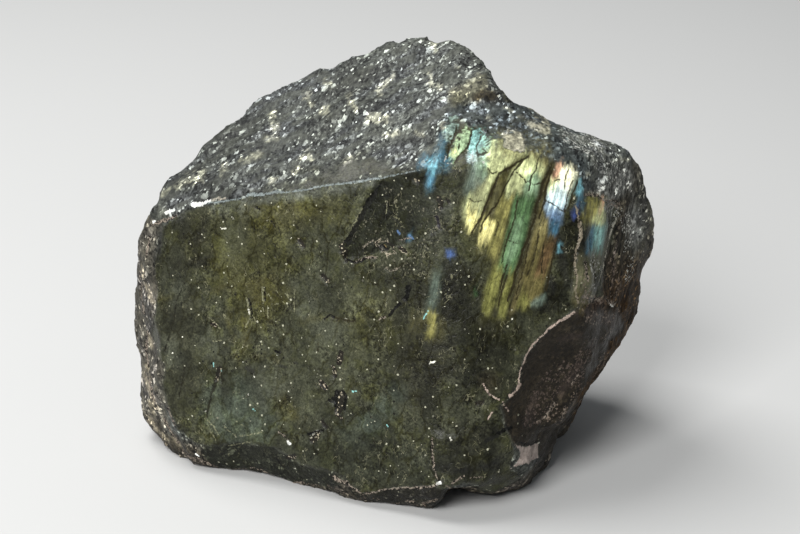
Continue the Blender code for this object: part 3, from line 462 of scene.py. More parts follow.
# ---------------------------------------------------------------------------
# The fine skin: the seen side of the stone, its quads split in four, and again
# along the marks and the flash, where the breaks in the surface are thinnest.
# ---------------------------------------------------------------------------
CRUST_OVERLAP = 0.8
WINDOW_OVERLAP = 0.6
NEAR_MARKS = 0.7
CLOSE_TO_MARKS = 0.18


def face_places(shape):
    """Front-elevation places of the faces, and how far they face the window side."""
    centres = np.array([face.calc_center_median() for face in shape.faces]) / MM
    facing = np.array([face.normal.dot(WINDOW_SIDE) for face in shape.faces])
    return centres[:, [0, 2]], facing


def refine(shape, chosen):
    """Split the chosen faces in four."""
    edges = {edge for face, wanted in zip(shape.faces, chosen) if wanted for edge in face.edges}
    bmesh.ops.subdivide_edges(shape, edges=list(edges), cuts=1, use_grid_fill=True)
    shape.normal_update()


shape = bmesh.new()
shape.from_mesh(stone.data)
shape.normal_update()
places, facing = face_places(shape)
rough = depth_within(places, WINDOW) < CRUST_OVERLAP
refine(shape, (facing > 0.05) & (rough | near_flash(places) | near_marks(places, NEAR_MARKS)))
places, facing = face_places(shape)
on_window = (facing > 0.2) & (depth_within(places, WINDOW) > -WINDOW_OVERLAP)
refine(shape, (facing > 0.1) & (on_window & near_flash(places) | near_marks(places, CLOSE_TO_MARKS)))
shape.to_mesh(stone.data)
shape.free()

# ---------------------------------------------------------------------------
# The crust: flakes and grains of weathered feldspar on every broken face, finer
# in the scar and under the window. It grows thin over the wedge by the ridge,
# and along the right edge it has split into splinters.
# ---------------------------------------------------------------------------
BEDDING = Vector((0.905, 0.116, 0.408)).normalized()
LAMELLAE = Vector((0.262, 0.333, 0.906)).normalized()
SLAB = [
    (-37.9, 38.8), (-42, 39.4), (-40.4, 43), (-38, 45.7), (-29.9, 50.6), (-22.6, 54.8), (-10.6, 59.7),
    (-2, 63.3), (11.4, 67.4), (16.1, 65.7), (20, 60.8), (10.2, 60.6), (7.8, 59.1), (6.6, 55.4),
] + RIDGE[::-1]
WEDGE = [
    (-23, 45.8), (-14.8, 49.1), (-12.4, 50.5), (-8.3, 51.9), (-1.8, 53.8), (0.1, 53.9), (3, 54.4),
] + RIDGE[:3:-1]
SHELF = [
    (6.6, 55.4), (7.8, 59.1), (10.2, 60.6), (20, 60.8), (27.4, 57.8), (32.3, 55.6), (36.7, 52.8),
    (40.3, 49.7), (38.4, 45.5), (34.3, 47.1), (30.6, 49.6), (28.8, 53), (26.1, 54.4), (24.3, 55.7),
    (20.3, 56.2), (16.5, 56.7), (14.1, 58.4), (11.4, 59.2), (9.7, 59.4), (8.2, 58.6),
]
SCAR = [
    (29.6, 31.2), (31.9, 30.9), (37.7, 25.9), (39.4, 20.5), (36, 21), (34.4, 18), (31.4, 17.7),
    (29.7, 15.6), (30.6, 4.9), (28.1, 4.8), (25.3, 3), (23.9, 5.7), (23.6, 8.2), (21.5, 9.7), (18.9, 12.4),
] + SCAR_EDGE[::-1]
BEVEL = [
    (-31.3, 4.7), (-23.3, 6.5), (-19.1, 6.4), (-15, 4.5), (-8.8, 4.8), (-7.5, 3.8), (-10, 1.2),
    (-15.1, -0.2), (-20.1, -0.1), (-23.5, 0.7), (-29.5, 0), (-31.4, 2.6),
]
NOSE = [
    (-7.5, 3.4), (-4.7, 2.2), (1.4, 4.3), (7, 5.9), (10.2, 4.4), (11.3, 3.7), (7.9, -0.1), (1.4, 0.2),
    (-5.1, 0.3),
]
FLAKE_HEIGHT = 0.34
SMALL_FLAKE_HEIGHT = 0.20
GRAIN_HEIGHT = 0.10
WAVE_HEIGHT = 0.07
RIPPLE_HEIGHT = 0.03
SPLINTER_HEIGHT = 0.16
# A face fades in between these two amounts of turning to the window side
WINDOW_TURN = (0.15, 0.45)
SCAR_TURN = (-0.1, 0.2)
CRUST_TURN = (-0.3, 0.0)
FLAKE_SEED = 20
FLAKE_VARIETY = 3.7


def vertex_places():
    """Vertices of the stone in millimetres, and their normals."""
    count = len(stone.data.vertices)
    spots = np.empty(count * 3)
    stone.data.vertices.foreach_get("co", spots)
    normals = np.empty(count * 3)
    stone.data.vertices.foreach_get("normal", normals)
    return spots.reshape(-1, 3) / MM, normals.reshape(-1, 3)


def ease(low, high, value):
    """0 at low and 1 at high, with a soft start and end."""
    share = np.clip((value - low) / (high - low), 0.0, 1.0)
    return share * share * (3.0 - 2.0 * share)


def grain(spots, spacing, seed=0.0):
    """Soft noise from about -1 to 1, its lumps spacing millimetres apart."""
    return np.array([noise.noise(spot) for spot in spots / spacing + seed])


def flakes(spots, spacing, seed=0.0):
    """Flat flakes, spacing millimetres across, each tilted its own way by the seeded noise."""
    noise.seed_set(FLAKE_SEED)
    heights = []
    for spot in spots / spacing + seed:
        place = Vector(spot)
        centre = noise.voronoi(place)[1][0]
        tilt = noise.noise_vector(centre * FLAKE_VARIETY)
        heights.append(tilt.dot(place - centre))
    return np.array(heights)


def stretched(spots, axis, times):
    """The spots drawn together along an axis, so that noise on them runs along it."""
    along = spots @ np.array(axis)
    return spots - np.outer(along * (1.0 - 1.0 / times), np.array(axis))


spots, normals = vertex_places()
front = normals @ np.array(WINDOW_SIDE)
facing_front = ease(*WINDOW_TURN, front)
plan = spots[:, [0, 2]]
wander = np.stack([grain(spots, 2.4, 3.0), grain(spots, 2.4, 9.0)], axis=1)
fray = np.stack([grain(spots, 0.7, 5.0), grain(spots, 0.7, 7.0)], axis=1)
plan_worn = plan + 0.5 * wander + 0.15 * fray


def cover_of(outline, edge, turn, places=plan_worn):
    """Share of a face at each vertex: it fades over its edge, and as the stone turns away."""
    return ease(*edge, depth_within(places, outline)) * ease(*turn, front)


within_window = cover_of(WINDOW, (-0.3, 0.4), WINDOW_TURN)
within_wedge = cover_of(WEDGE, (-0.7, 1.1), WINDOW_TURN, plan_worn + 0.9 * wander)
within_scar = cover_of(SCAR, (-0.3, 0.5), SCAR_TURN)
within_shelf = cover_of(SHELF, (-0.4, 0.4), CRUST_TURN)
within_slab = cover_of(SLAB, (-0.4, 0.4), CRUST_TURN)
within_bevel = cover_of(BEVEL, (-0.3, 0.4), SCAR_TURN)
within_nose = cover_of(NOSE, (-0.3, 0.4), SCAR_TURN)
crust = 1.0 - within_window
crust *= 1.0 - 0.85 * within_wedge
crust *= 1.0 - 0.46 * within_scar
crust *= 1.0 - 0.5 * within_bevel
crust *= 1.0 - 0.5 * within_nose

bedded = stretched(spots, BEDDING, 1.5)
lift = crust * (
    FLAKE_HEIGHT * flakes(bedded, 2.3)
    + SMALL_FLAKE_HEIGHT * flakes(bedded, 1.05, 4.0)
    + GRAIN_HEIGHT * grain(bedded, 0.55, 2.0)
)
lift += (1.0 - crust) * (WAVE_HEIGHT * grain(spots, 6.0, 1.0) + RIPPLE_HEIGHT * grain(spots, 1.6, 6.0))
splintery = ease(29.5, 32.5, spots[:, 0]) * ease(43.0, 38.5, spots[:, 0] + wander[:, 0])
splintery *= ease(52.0, 47.0, spots[:, 2]) * (1.0 - within_scar)
lift += SPLINTER_HEIGHT * splintery * grain(stretched(spots, LAMELLAE, 7.0), 0.9, 21.0)

# ---------------------------------------------------------------------------
# The chips of the window: a dark hollow left of the flash, a raised plate at
# the right edge, a step at the foot, the ribs of the lamellae, and the grooves
# and pits of the marks. They broke along the layers when the stone was knocked.
# ---------------------------------------------------------------------------
PATCH = [
    (-2.6, 51), (-4.2, 47.4), (-5.8, 44.1), (-7.4, 41.1), (-7.9, 39.1), (-7.4, 38.7), (-5, 39.1),
    (-1.8, 40.6), (0.6, 41.6), (4.5, 43.4), (9.2, 46), (12.1, 49.8), (12, 54.6), (6.1, 54.6), (1.4, 52.8),
]
SECOND_PATCH = [
    (29.9, 47.9), (30.1, 46.4), (29.6, 41.6), (29, 37.9), (28.4, 34.1), (29.4, 32.3), (32.1, 30.8),
    (37.3, 43.9), (32.9, 47.6),
]
FOOT_STEP = [
    (6.2, 13.7), (6.3, 9.7), (6.8, 7.4), (7.7, 6.3), (12.6, 5.5), (17.4, 5.4), (17.3, 13.7),
]
FLASH_FIELD = [
    (2.9, 51.4), (4.6, 55.5), (7.1, 57.1), (8.3, 59.2), (10, 59.5), (13.6, 58.6), (16.4, 57.7),
    (25.5, 55.2), (29.5, 53.3), (31.4, 50.1), (31.8, 48.3), (36.6, 44.6), (31.5, 30.6), (28, 32.4),
    (24.3, 32.1), (18.1, 30.7), (15.3, 31.4), (13.2, 33.3), (14.5, 40.9), (10.8, 44.3), (10.4, 50),
    (10.5, 54), (8, 54.1), (6.4, 50.6),
]
PATCH_DEPTH = 0.45
PLATE_HEIGHT = 0.4
STEP_HEIGHT = 0.45
RIB_HEIGHT = 0.05
CRACK_DEPTH = 0.05
CRACK_SIDE = 0.2
MARK_SIDE = 0.35
MARK_DEPTHS = {"pit": 0.22, "crumb": 0.1, "black": 0.12, "brown": 0.06, "crack": 0.12, "white": -0.08}
FOOT_HEIGHT = 0.8

within_patch = cover_of(PATCH, (-0.05, 0.25), WINDOW_TURN, plan + 0.2 * fray)
flash_side = cover_of(FLASH_FIELD, (-0.5, 1.5), WINDOW_TURN, plan)
plate = cover_of(SECOND_PATCH, (0.0, 0.25), WINDOW_TURN, plan + 0.15 * fray)
foot_step = cover_of(FOOT_STEP, (-0.1, 0.2), WINDOW_TURN, plan + 0.15 * fray)
lift += RIB_HEIGHT * flash_side * grain(stretched(spots, LAMELLAE, 6.0), 0.7, 8.0)
lift -= PATCH_DEPTH * within_patch * (1.0 - ease(1.0, 11.0, spots[:, 0]))
lift += PLATE_HEIGHT * plate * (1.0 - ease(33.0, 36.0, spots[:, 0]))
lift += STEP_HEIGHT * foot_step * (1.0 - ease(8.0, 13.0, spots[:, 0]))
for half_width, *line in FLASH_CRACKS:
    sunk = 1.0 - ease(half_width, half_width + CRACK_SIDE, distance_to(plan + 0.1 * fray, line))
    lift -= CRACK_DEPTH * sunk * facing_front
for kind, depth in MARK_DEPTHS.items():
    for half_width, *line in MARKS[kind][-1]:
        sunk = 1.0 - ease(half_width, half_width + MARK_SIDE, distance_to(plan + 0.12 * fray, line))
        lift -= depth * sunk * facing_front

lift *= ease(0.0, FOOT_HEIGHT, spots[:, 2])
spots_new = (spots + normals * lift[:, None]) * MM
spots_new[:, 2] = np.maximum(spots_new[:, 2], 0.0)
stone.data.vertices.foreach_set("co", spots_new.ravel())
stone.data.update()

# ---------------------------------------------------------------------------
# The crust's tones: cool grey on the slab and the shelf, warmer grey on the left
# rim and the right side, and dusty brown in the scar and round the foot. The
# splinters on the right side are near black brown, deepened by painted shade.
# ---------------------------------------------------------------------------
SKIN_TONE = (0.064, 0.067, 0.064)
SLAB_TONE = (0.064, 0.067, 0.064)
SHELF_TONE = (0.079, 0.088, 0.091)
RIM_TONE = (0.084, 0.076, 0.065)
RIGHT_TONE = (0.082, 0.079, 0.066)
# the splinters' dark brown, deepened by painted shade of the side turned from the light
SHADED_SPLINTER_TONE = (0.024, 0.0205, 0.0135)
LOW_RIGHT_TONE = (0.0285, 0.016, 0.0062)
SCAR_TONE = (0.0195, 0.0152, 0.0105)
FOOT_TONE = (0.046, 0.037, 0.027)
BEVEL_TONE = (0.017, 0.018, 0.013)
NOSE_TONE = (0.014, 0.013, 0.01)

spots, normals = vertex_places()
right_across = spots[:, 0]
height = spots[:, 2]
bare = 1.0 - within_window
tone = np.empty((len(spots), 3))
tone[:] = SKIN_TONE
tone *= (1.0 + 0.35 * grain(spots, 9.0, 11.0))[:, None]


def lay(colour, share):
    """Cover the tone by a colour, by the share at each vertex."""
    tone[:] = tone * (1.0 - share[:, None]) + np.array(colour) * share[:, None]


seen_side = ease(0.35, 0.05, normals[:, 1])
lay(SLAB_TONE, within_slab)
tone *= (1.0 - 0.2 * within_slab * ease(-14.0, -30.0, right_across))[:, None]
lay(SHELF_TONE, within_shelf)
tone *= (1.0 + 0.16 * within_slab * ease(50.0, 60.0, height))[:, None]
rim = ease(-36.5, -39.0, right_across + 0.8 * wander[:, 0]) * (1.0 - within_slab)
lay(RIM_TONE, rim * bare)
lay(RIGHT_TONE, ease(29.0, 33.0, right_across) * (1.0 - within_shelf) * seen_side * bare)
# painted shade together with the splinters' brown on the right side
lay(SHADED_SPLINTER_TONE, 0.9 * splintery * bare)
low_right = ease(27.0, 31.0, right_across) * ease(38.0, 28.0, height + wander[:, 0])
lay(LOW_RIGHT_TONE, low_right * seen_side * bare)
tone *= (1.0 + 0.35 * rim * ease(18.0, 10.0, height))[:, None]
lay(SCAR_TONE, within_scar)
lay(FOOT_TONE, 0.85 * ease(6.0, 3.0, height + wander[:, 0]) * ease(-0.3, 0.0, front) * bare)
lay(BEVEL_TONE, within_bevel)
lay(NOSE_TONE, within_nose)

# ---------------------------------------------------------------------------
# The window's tones: dark olive feldspar, clouded golden, grey and teal where
# light goes deeper into it. It is paler on the wedge and near black in the chip.
# ---------------------------------------------------------------------------
# Each cloud is its tone, cover, middle x and z, half width, half height and turn in degrees.
WINDOW_TONE = (0.04, 0.042, 0.025)
WEDGE_TONE = (0.05, 0.051, 0.036)
PATCH_TONE = (0.0115, 0.0125, 0.0075)
CLOUD_TONES = {
    "olive": (0.051, 0.05, 0.019), "top_olive": (0.062, 0.059, 0.023), "pale": (0.118, 0.122, 0.085),
    "left": (0.031, 0.031, 0.019), "haze": (0.062, 0.066, 0.046), "middle": (0.051, 0.054, 0.033),
    "teal": (0.058, 0.072, 0.053), "green": (0.067, 0.074, 0.037), "low": (0.023, 0.025, 0.016),
    "dark": (0.011, 0.011, 0.007), "dusk": (0.019, 0.019, 0.012), "brown": (0.028, 0.023, 0.013),
    "lobe": (0.015, 0.015, 0.01), "mauve": (0.041, 0.039, 0.033), "greyed": (0.038, 0.041, 0.029),
}
WINDOW_CLOUDS = [
    ("left", 0.7, -35.5, 22, 5.5, 18, 0), ("olive", 0.75, -24, 37, 11, 9, 0),
    ("top_olive", 0.6, -16, 44.5, 11, 3.4, 12), ("pale", 0.85, -25, 43.8, 6.5, 1.5, 12),
    ("pale", 0.7, -14.5, 46.6, 7, 1.2, 12), ("haze", 0.5, -25.8, 39, 3, 4.5, 0),
    ("middle", 0.7, -9, 29, 14, 9, 10), ("middle", 0.7, -15, 17, 11, 8, 0),
    ("olive", 0.7, -22.5, 29, 5.5, 6, 0), ("haze", 0.6, -36, 29, 2.6, 3.6, 0),
    ("teal", 0.7, -25, 11.5, 7.5, 7, 0), ("haze", 0.6, -21, 14, 3.5, 2.6, 0),
    ("olive", 0.6, -17.3, 13.5, 2.4, 2.6, 0), ("teal", 0.9, 1.2, 19.5, 2.2, 2.2, 0),
    ("teal", 0.75, -6, 11.2, 3.4, 2.4, 0), ("green", 0.7, -3.6, 13.6, 1.6, 3.2, -30),
    ("dusk", 0.6, -6, 15, 5, 2, 20), ("low", 0.8, -8, 7, 10, 3.4, -8), ("low", 0.7, 4, 8, 8, 5, 0),
    ("dusk", 0.7, 4, 30, 8, 12, 0), ("dark", 0.66, 15, 27, 7, 10, 0), ("dark", 0.8, 10, 36, 4.6, 6, 0),
    ("dark", 0.7, 24, 34, 5, 4, 0), ("dark", 0.85, 29, 42, 2.6, 7, -12),
    ("brown", 0.6, 15.5, 22, 2.6, 2.2, 0), ("lobe", 0.8, 13, 11, 7, 6, 0),
    ("mauve", 0.7, 4.6, 54, 3, 2.6, 0), ("greyed", 0.7, 4.6, 46.5, 4, 4, 0),
    ("dusk", 0.6, -35, 40, 3, 2, 20), ("dark", 0.5, -31.5, 34.6, 2.4, 2.6, 30),
    ("dark", 0.7, 6.5, 26.4, 4.5, 3.5, 0), ("dusk", 0.7, 3.8, 20.2, 5, 4, 0),
    ("dark", 0.6, 24.4, 33.7, 4, 3, 0), ("dusk", 0.88, 5.3, 24.8, 5.5, 6.5, 0),
    ("low", 0.8, -5, 12.3, 8, 4.5, 0), ("dusk", 0.6, -33.2, 37.4, 3.5, 4.5, 0),
    ("teal", 0.7, -1, 16.5, 2.6, 2.2, 0), ("teal", 0.75, -3.1, 13.6, 2.4, 2.2, 0),
    ("haze", 0.6, -29.6, 21.3, 3.4, 3, 0), ("haze", 0.7, -36.8, 18.8, 2.6, 3.4, 0),
    ("haze", 0.55, -14.8, 31, 3.2, 4, 0), ("haze", 0.5, -9.9, 27.1, 4, 3, 0),
    ("haze", 0.5, -19.8, 17.4, 5, 3.5, 0), ("haze", 0.5, 6.1, 48.9, 4.5, 3.2, 0),
    ("top_olive", 0.6, -17, 45.3, 7, 1.6, 8), ("top_olive", 0.7, -19.7, 31.4, 5, 3, 0),
    ("olive", 0.6, -9.8, 46.6, 4, 3, 0), ("dusk", 0.7, -27.3, 15.3, 1.6, 4, 0),
    ("dark", 0.8, 15.7, 14.5, 3, 1.6, 10), ("low", 0.6, -14.9, 6.8, 6, 1.4, -10),
    ("olive", 0.35, -3.4, 29, 6, 7, 0), ("left", 0.5, -30.8, 40, 1.6, 4, -20),
]
EVEN_CLOUDS = ("haze", "teal", "middle", "left")
VEINED_CLOUDS = ("olive", "top_olive")


def away_from(x, z, wide, tall, turn=0.0):
    """How far each vertex is from the middle of a cloud, in shares of its size."""
    tilt = math.radians(turn)
    across = (plan[:, 0] - x) * math.cos(tilt) + (plan[:, 1] - z) * math.sin(tilt)
    up = (plan[:, 1] - z) * math.cos(tilt) - (plan[:, 0] - x) * math.sin(tilt)
    return np.hypot(across / wide, up / tall)


lay(WINDOW_TONE, within_window)
for kind, cover, *cloud in WINDOW_CLOUDS:
    fade = 1.0 - ease(0.35, 1.15, away_from(*cloud) + 0.25 * wander[:, 0])
    lay(CLOUD_TONES[kind], cover * fade * within_window)

# calm: 1 where the stone is even and free of specks, below 0 where it is full of veins
calm = np.maximum(within_wedge, 0.5 * rim * ease(30.0, 34.0, height + 2.0 * wander[:, 1]))
calm = np.maximum(calm, 0.8 * within_scar)
for kind, cover, x, z, wide, tall, turn in WINDOW_CLOUDS:
    spread = away_from(x, z, wide, tall)
    if kind in EVEN_CLOUDS:
        calm = np.maximum(calm, 0.5 * (1.0 - ease(0.5, 1.0, spread + 0.3 * wander[:, 1])))
    elif kind in VEINED_CLOUDS:
        calm -= 0.5 * (1.0 - ease(0.5, 1.1, spread)) * (1.0 - within_wedge)
lay(WEDGE_TONE, within_wedge)
patch_left = 1.0 - 0.75 * ease(1.0, 9.0, right_across - 0.25 * (height - 45.0))
lay(PATCH_TONE, 0.92 * within_patch * patch_left)

# ---------------------------------------------------------------------------
# Blotches: stains, frosted spots and single large crystals in the crust, and
# pale or brown veins in the window. They are drawn as soft broad bands.
# ---------------------------------------------------------------------------
# Each kind is its tone, cover, soft edge, calmness and bands; a band is its half width and its
# corners, x and z by turns.
BLOTCHES = {
    "paleband": ((0.105, 0.112, 0.09), 0.8, 0.6, 0.5, [
        (0.43, -28.9, 43.3, -23.8, 44.9, -19.6, 46, -14.7, 47.4), (0.43, -14.7, 47.4, -9.8, 48.7, -2.7, 51),
    ]),
    "vein": ((0.05, 0.046, 0.017), 0.7, 0.5, 0, [
        (0.21, -22.8, 20.7, -20.1, 21.4, -18.3, 20.7), (0.38, -24.1, 26.5, -23.8, 23.1, -24.3, 21.1),
        (0.43, -24.7, 31.7, -21.7, 32.5, -18.9, 34.1), (0.34, -29, 30.2, -26.1, 31.6),
        (0.31, -26.8, 26.1, -26.5, 24.2, -25.5, 22.5), (0.69, -22.1, 31, -21.1, 29, -20.1, 27.2),
        (0.43, -19.4, 31.5, -17.1, 30.6), (0.48, -17.5, 15, -16.5, 13.3, -15.5, 12.5),
        (0.26, -14.5, 27.6, -9.9, 29.3, -5.7, 29.1), (0.31, -25.7, 20.4, -24.8, 19.4),
        (0.22, -4.7, 30.8, -4.4, 28.1, -3.7, 26.9), (0.34, -23.6, 44, -19.6, 44.9, -14.7, 45.7),
        (0.26, -14.7, 44.1, -11.1, 45.3), (0.34, -38.5, 26.9, -36.4, 27.9),
    ]),
    "dim": ((0.02, 0.02, 0.014), 0.75, 0.5, 0, [
        (0.34, -30.7, 40.7, -31.6, 38.3, -32.7, 35.9), (0.51, -34.9, 33.6, -32.2, 33.8, -29.4, 35.5),
        (0.26, -29.8, 35.5, -29.1, 36.5), (0.34, -30.1, 41.7, -30.9, 39.1, -32.1, 36.7),
        (0.21, -27.9, 20.5, -26.8, 22.6, -25.5, 24.4), (0.26, -23.1, 24.8, -21.1, 26.4, -18.8, 27.1),
    ]),
    "blotch": ((0.34, 0.335, 0.28), 0.95, 0.2, 0.5, [
        (0.22, -20.4, 53.2, -19.6, 53.6), (0.27, -20.1, 52.5, -19, 52.7), (0.26, -14.7, 56.2, -13.7, 56.6),
        (0.24, -13.9, 55.8, -13.2, 55.6), (0.21, -11.3, 58.1, -10.3, 58.3),
        (0.24, -7.1, 57.8, -6.5, 57.7, -5.7, 57.5), (0.34, -3.8, 56.9, -2.2, 57.2),
        (0.26, -1.5, 57.1, -0.6, 57.7), (0.26, -2.3, 59.4, -0.9, 60.2, 0.4, 61.2),
        (0.17, -7.6, 52.1, -6.3, 52.7), (0.17, -1, 55.7, 1.1, 56.5), (0.17, -14.9, 50.9, -13, 51.4),
        (0.17, -12, 55.4, -10.6, 55.9), (0.24, 4, 57.1, 5.2, 57.1), (0.26, 6.8, 65, 7.4, 64.8),
        (0.17, 10.6, 64.2, 10.9, 64.1), (0.17, 6, 62, 6.7, 61.8), (0.17, 7.5, 61.9, 8.1, 62.1),
        (0.15, -16.2, 49.2, -14.9, 50), (0.15, -25.1, 49, -21.5, 50), (0.15, -21.2, 51.4, -18.9, 51.8),
        (0.19, -36.1, 43.9, -33.7, 45, -31.2, 46), (0.15, -38.6, 42.3, -37, 43.5),
        (0.15, -28.3, 47.1, -27.3, 47.8), (0.15, -19.8, 48, -18.8, 48.4),
        (0.29, 21.8, 58.1, 23, 57.8, 24.7, 57.2), (0.15, 15.1, 59.3, 16, 59.1),
        (0.17, 19.1, 58.8, 19.7, 58.5), (0.15, 20.6, 59.1, 21.3, 58.8), (0.15, 18.3, 60.2, 19.5, 59.6),
        (0.14, 30.4, 54.9, 30.7, 54.8), (0.15, 24.2, 56.6, 24.7, 56.5), (0.17, 30.8, 52.2, 31.7, 51.4),
        (0.15, 31.7, 48.5, 33.5, 47.4, 34.9, 46.3), (0.15, 7.8, 58.6, 8.4, 58.9),
        (0.14, 12, 60.5, 13.3, 61.1), (0.17, 36.7, 50.6, 39.3, 49.7),
    ]),
    "tanpatch": ((0.122, 0.115, 0.08), 0.8, 0.5, 0.6, [
        (0.34, 27.4, 56.3, 28.2, 56.3), (1.03, 10.4, 61.5, 12.4, 62.2, 14.6, 63),
        (0.34, 27.4, 56.8, 28.8, 55.4), (0.34, 18.2, 62.1, 19.2, 60.8),
    ]),
    "greypatch": ((0.17, 0.175, 0.16), 0.9, 0.3, 0.8, [
        (0.26, 31.7, 50.5, 33.2, 49.2),
    ]),
    "frost": ((0.16, 0.162, 0.15), 0.75, 1.2, 0.1, [
        (1.89, 33, 53.3, 35.8, 50.6, 37.9, 46.9), (1.37, 28, 55.8, 30.8, 54.6),
        (1.37, 40.1, 40.9, 40.9, 36.8), (1.03, 34.2, 48.5, 36.5, 45.9), (0.51, -37.9, 40.8, -35.2, 41.3),
    ]),
    "darkshelf": ((0.045, 0.054, 0.06), 0.8, 0.9, 0.35, [
        (1.37, 17.4, 58.8, 22.2, 57.1, 26.8, 55.5, 30.6, 53),
    ]),
    "crumbpatch": ((0.37, 0.35, 0.285), 0.96, 0.2, 0.9, [
        (0.31, 22.4, 58, 23.8, 57.5, 25.3, 57), (0.69, 18.4, 57.3, 20.5, 56.7),
    ]),
    "brownpatch": ((0.036, 0.027, 0.013), 0.88, 0.35, 0.6, [
        (0.69, 13.7, 61.4, 14.9, 62, 16.6, 61.7),
    ]),
    "creampatch": ((0.29, 0.25, 0.195), 0.88, 0.3, 0.85, [
        (0.69, -41.1, 27.7, -40.3, 26.5), (0.26, -41.7, 30.8, -41.5, 29.6),
        (0.69, -41.5, 11.6, -40.8, 10.1), (0.43, -40.2, 9.5, -39.9, 7.6), (0.43, -41.2, 4.7, -40, 2.8),
        (0.43, -39.2, 2.7, -37.9, 2.4), (0.34, -40.7, 19.4, -40.6, 17.3), (0.34, -36.6, 3.3, -35.2, 2.4),
        (0.43, -41.7, 13.3, -40.9, 12.9), (0.26, -41, 26.7, -40.4, 28.1), (0.34, -41, 8.2, -40.7, 6),
    ]),
    "rimdark": ((0.026, 0.026, 0.025), 0.8, 0.5, 0.3, [
        (0.6, -38.2, 38.3, -38.8, 35, -39.1, 32.7), (0.34, -40.7, 23.5, -40.3, 20.2),
        (0.34, -39.1, 13.8, -38.4, 11.8), (0.34, -40.9, 31.3, -40.2, 30.4),
    ]),
    "blacken": ((0.012, 0.012, 0.011), 0.8, 0.7, 0.5, [
        (0.51, 7.1, 8.8, 12.5, 8.5, 16.7, 9.4), (0.43, 24.8, 37.9, 26.2, 35),
        (0.6, 26.1, 43.9, 27.1, 39.2, 27.8, 35.5),
    ]),
    "mauvepatch": ((0.045, 0.033, 0.028), 0.75, 0.6, 0, [
        (0.69, 30.1, 31, 33.7, 28.5, 36.8, 24.6), (0.51, 26.9, 26.8, 30.2, 26.8),
        (0.69, 30.4, 21.4, 27.5, 17.4), (0.6, 23, 17.6, 21.9, 14.7), (0.43, 30.8, 32.4, 34.5, 30),
    ]),
    "greystreak": ((0.12, 0.12, 0.112), 0.7, 0.5, 0.3, [
        (0.34, 39.8, 39.8, 40.5, 34.9), (0.34, 38.9, 46.8, 40.1, 43), (0.34, 42.1, 23.9, 42.8, 21.6),
    ]),
    "mauvestreak": ((0.05, 0.04, 0.036), 0.8, 0.2, 0, [
        (0.17, 35.6, 38.7, 34.4, 35.1, 34, 32.4), (0.14, 37.1, 38.8, 36, 35.1),
        (0.14, 36.7, 34.9, 36, 31.4), (0.14, 38.1, 42, 37.4, 39.4),
    ]),
}

for colour, share, soft, smooth, bands in BLOTCHES.values():
    for half_width, *line in bands:
        gap = distance_to(plan + 0.45 * fray, line)
        cover = share * (1.0 - ease(half_width - soft, half_width + soft, gap)) * ease(0.0, 0.2, front)
        lay(colour, cover)
        calm = np.maximum(calm, smooth * cover)

# ---------------------------------------------------------------------------
# The flash's colours: the painted reflection of the lamellae; each area of
# lamellae has its own colour, and its edges run out in streaks along the layers.
# The long cracks darken what they cross. Tones over 1 are brighter than plain
# white stone.
# ---------------------------------------------------------------------------
FLASH_TONES = {
    "haze_teal": (0.2, 0.265, 0.215), "brown_shade": (0.145, 0.122, 0.05),
    "dim_olive": (0.078, 0.074, 0.031), "olive": (0.08, 0.073, 0.026), "gold_olive": (0.27, 0.25, 0.08),
    "khaki": (0.177, 0.17, 0.095), "olive_green": (0.19, 0.19, 0.055), "gold": (0.239, 0.206, 0.083),
    "yellow": (0.58, 0.62, 0.31), "lime": (1.22, 1.34, 0.66), "cream": (1.08, 0.99, 0.4),
    "leaf_green": (0.44, 0.6, 0.35), "green": (0.078, 0.152, 0.062), "mint": (0.38, 0.56, 0.34),
    "pale_teal": (0.255, 0.48, 0.44), "facet_grey": (0.3, 0.41, 0.35), "grey_teal": (0.16, 0.21, 0.165),
    "ice": (0.97, 1.23, 1.23), "cyan": (0.26, 0.6, 0.68), "blue": (0.09, 0.23, 0.32),
    "deep_teal": (0.055, 0.15, 0.22), "deep_blue": (0.04, 0.06, 0.17), "sky": (0.09, 0.17, 0.42),
    "periwinkle": (0.19, 0.31, 0.49), "rose": (0.728, 0.442, 0.28), "white_hot": (1.3, 1.26, 0.86),
    "tan": (0.124, 0.105, 0.038), "russet": (0.143, 0.084, 0.039), "brown_black": (0.018, 0.015, 0.009),
}
LAMELLA_LEAN = 16.1
LAMELLA_SQUEEZE = 0.38
SHADED_CRACK = 0.11


def lamella_places(places):
    """Front-elevation places drawn together along the lamellae."""
    lean = math.radians(LAMELLA_LEAN)
    across = places[:, 0] * math.cos(lean) - places[:, 1] * math.sin(lean)
    along = places[:, 0] * math.sin(lean) + places[:, 1] * math.cos(lean)
    return np.stack([across, along * LAMELLA_SQUEEZE], axis=1)


flash = np.zeros((len(spots), 4))
sway = grain(stretched(spots, LAMELLAE, 4.0), 0.9, 12.0)
comb = grain(stretched(spots, LAMELLAE, 9.0), 0.35, 15.0)
flash_places = lamella_places(plan)
flash_places[:, 0] += 0.22 * sway + 0.12 * comb
flash_places[:, 1] += 0.30 * wander[:, 1] + 0.35 * comb
for tone_name, share, soft, outline in FLASH_AREAS:
    depth = depth_within(flash_places, lamella_places(np.array(outline, float).reshape(-1, 2)))
    cover = share * ease(-1.1 * soft, 1.1 * soft, depth) * facing_front
    flash[:, :3] = flash[:, :3] * (1.0 - cover[:, None]) + np.array(FLASH_TONES[tone_name]) * cover[:, None]
    flash[:, 3] = 1.0 - (1.0 - flash[:, 3]) * (1.0 - cover)
flash[:, :3] /= np.maximum(flash[:, 3:], 1e-3)
for half_width, *line in FLASH_CRACKS:
    if half_width > SHADED_CRACK:
        shade = 1.0 - ease(0.05, 0.7, distance_to(plan + 0.12 * fray, line))
        flash[:, :3] *= (1.0 - 0.22 * shade)[:, None] ** np.array([1.0, 1.05, 1.3])
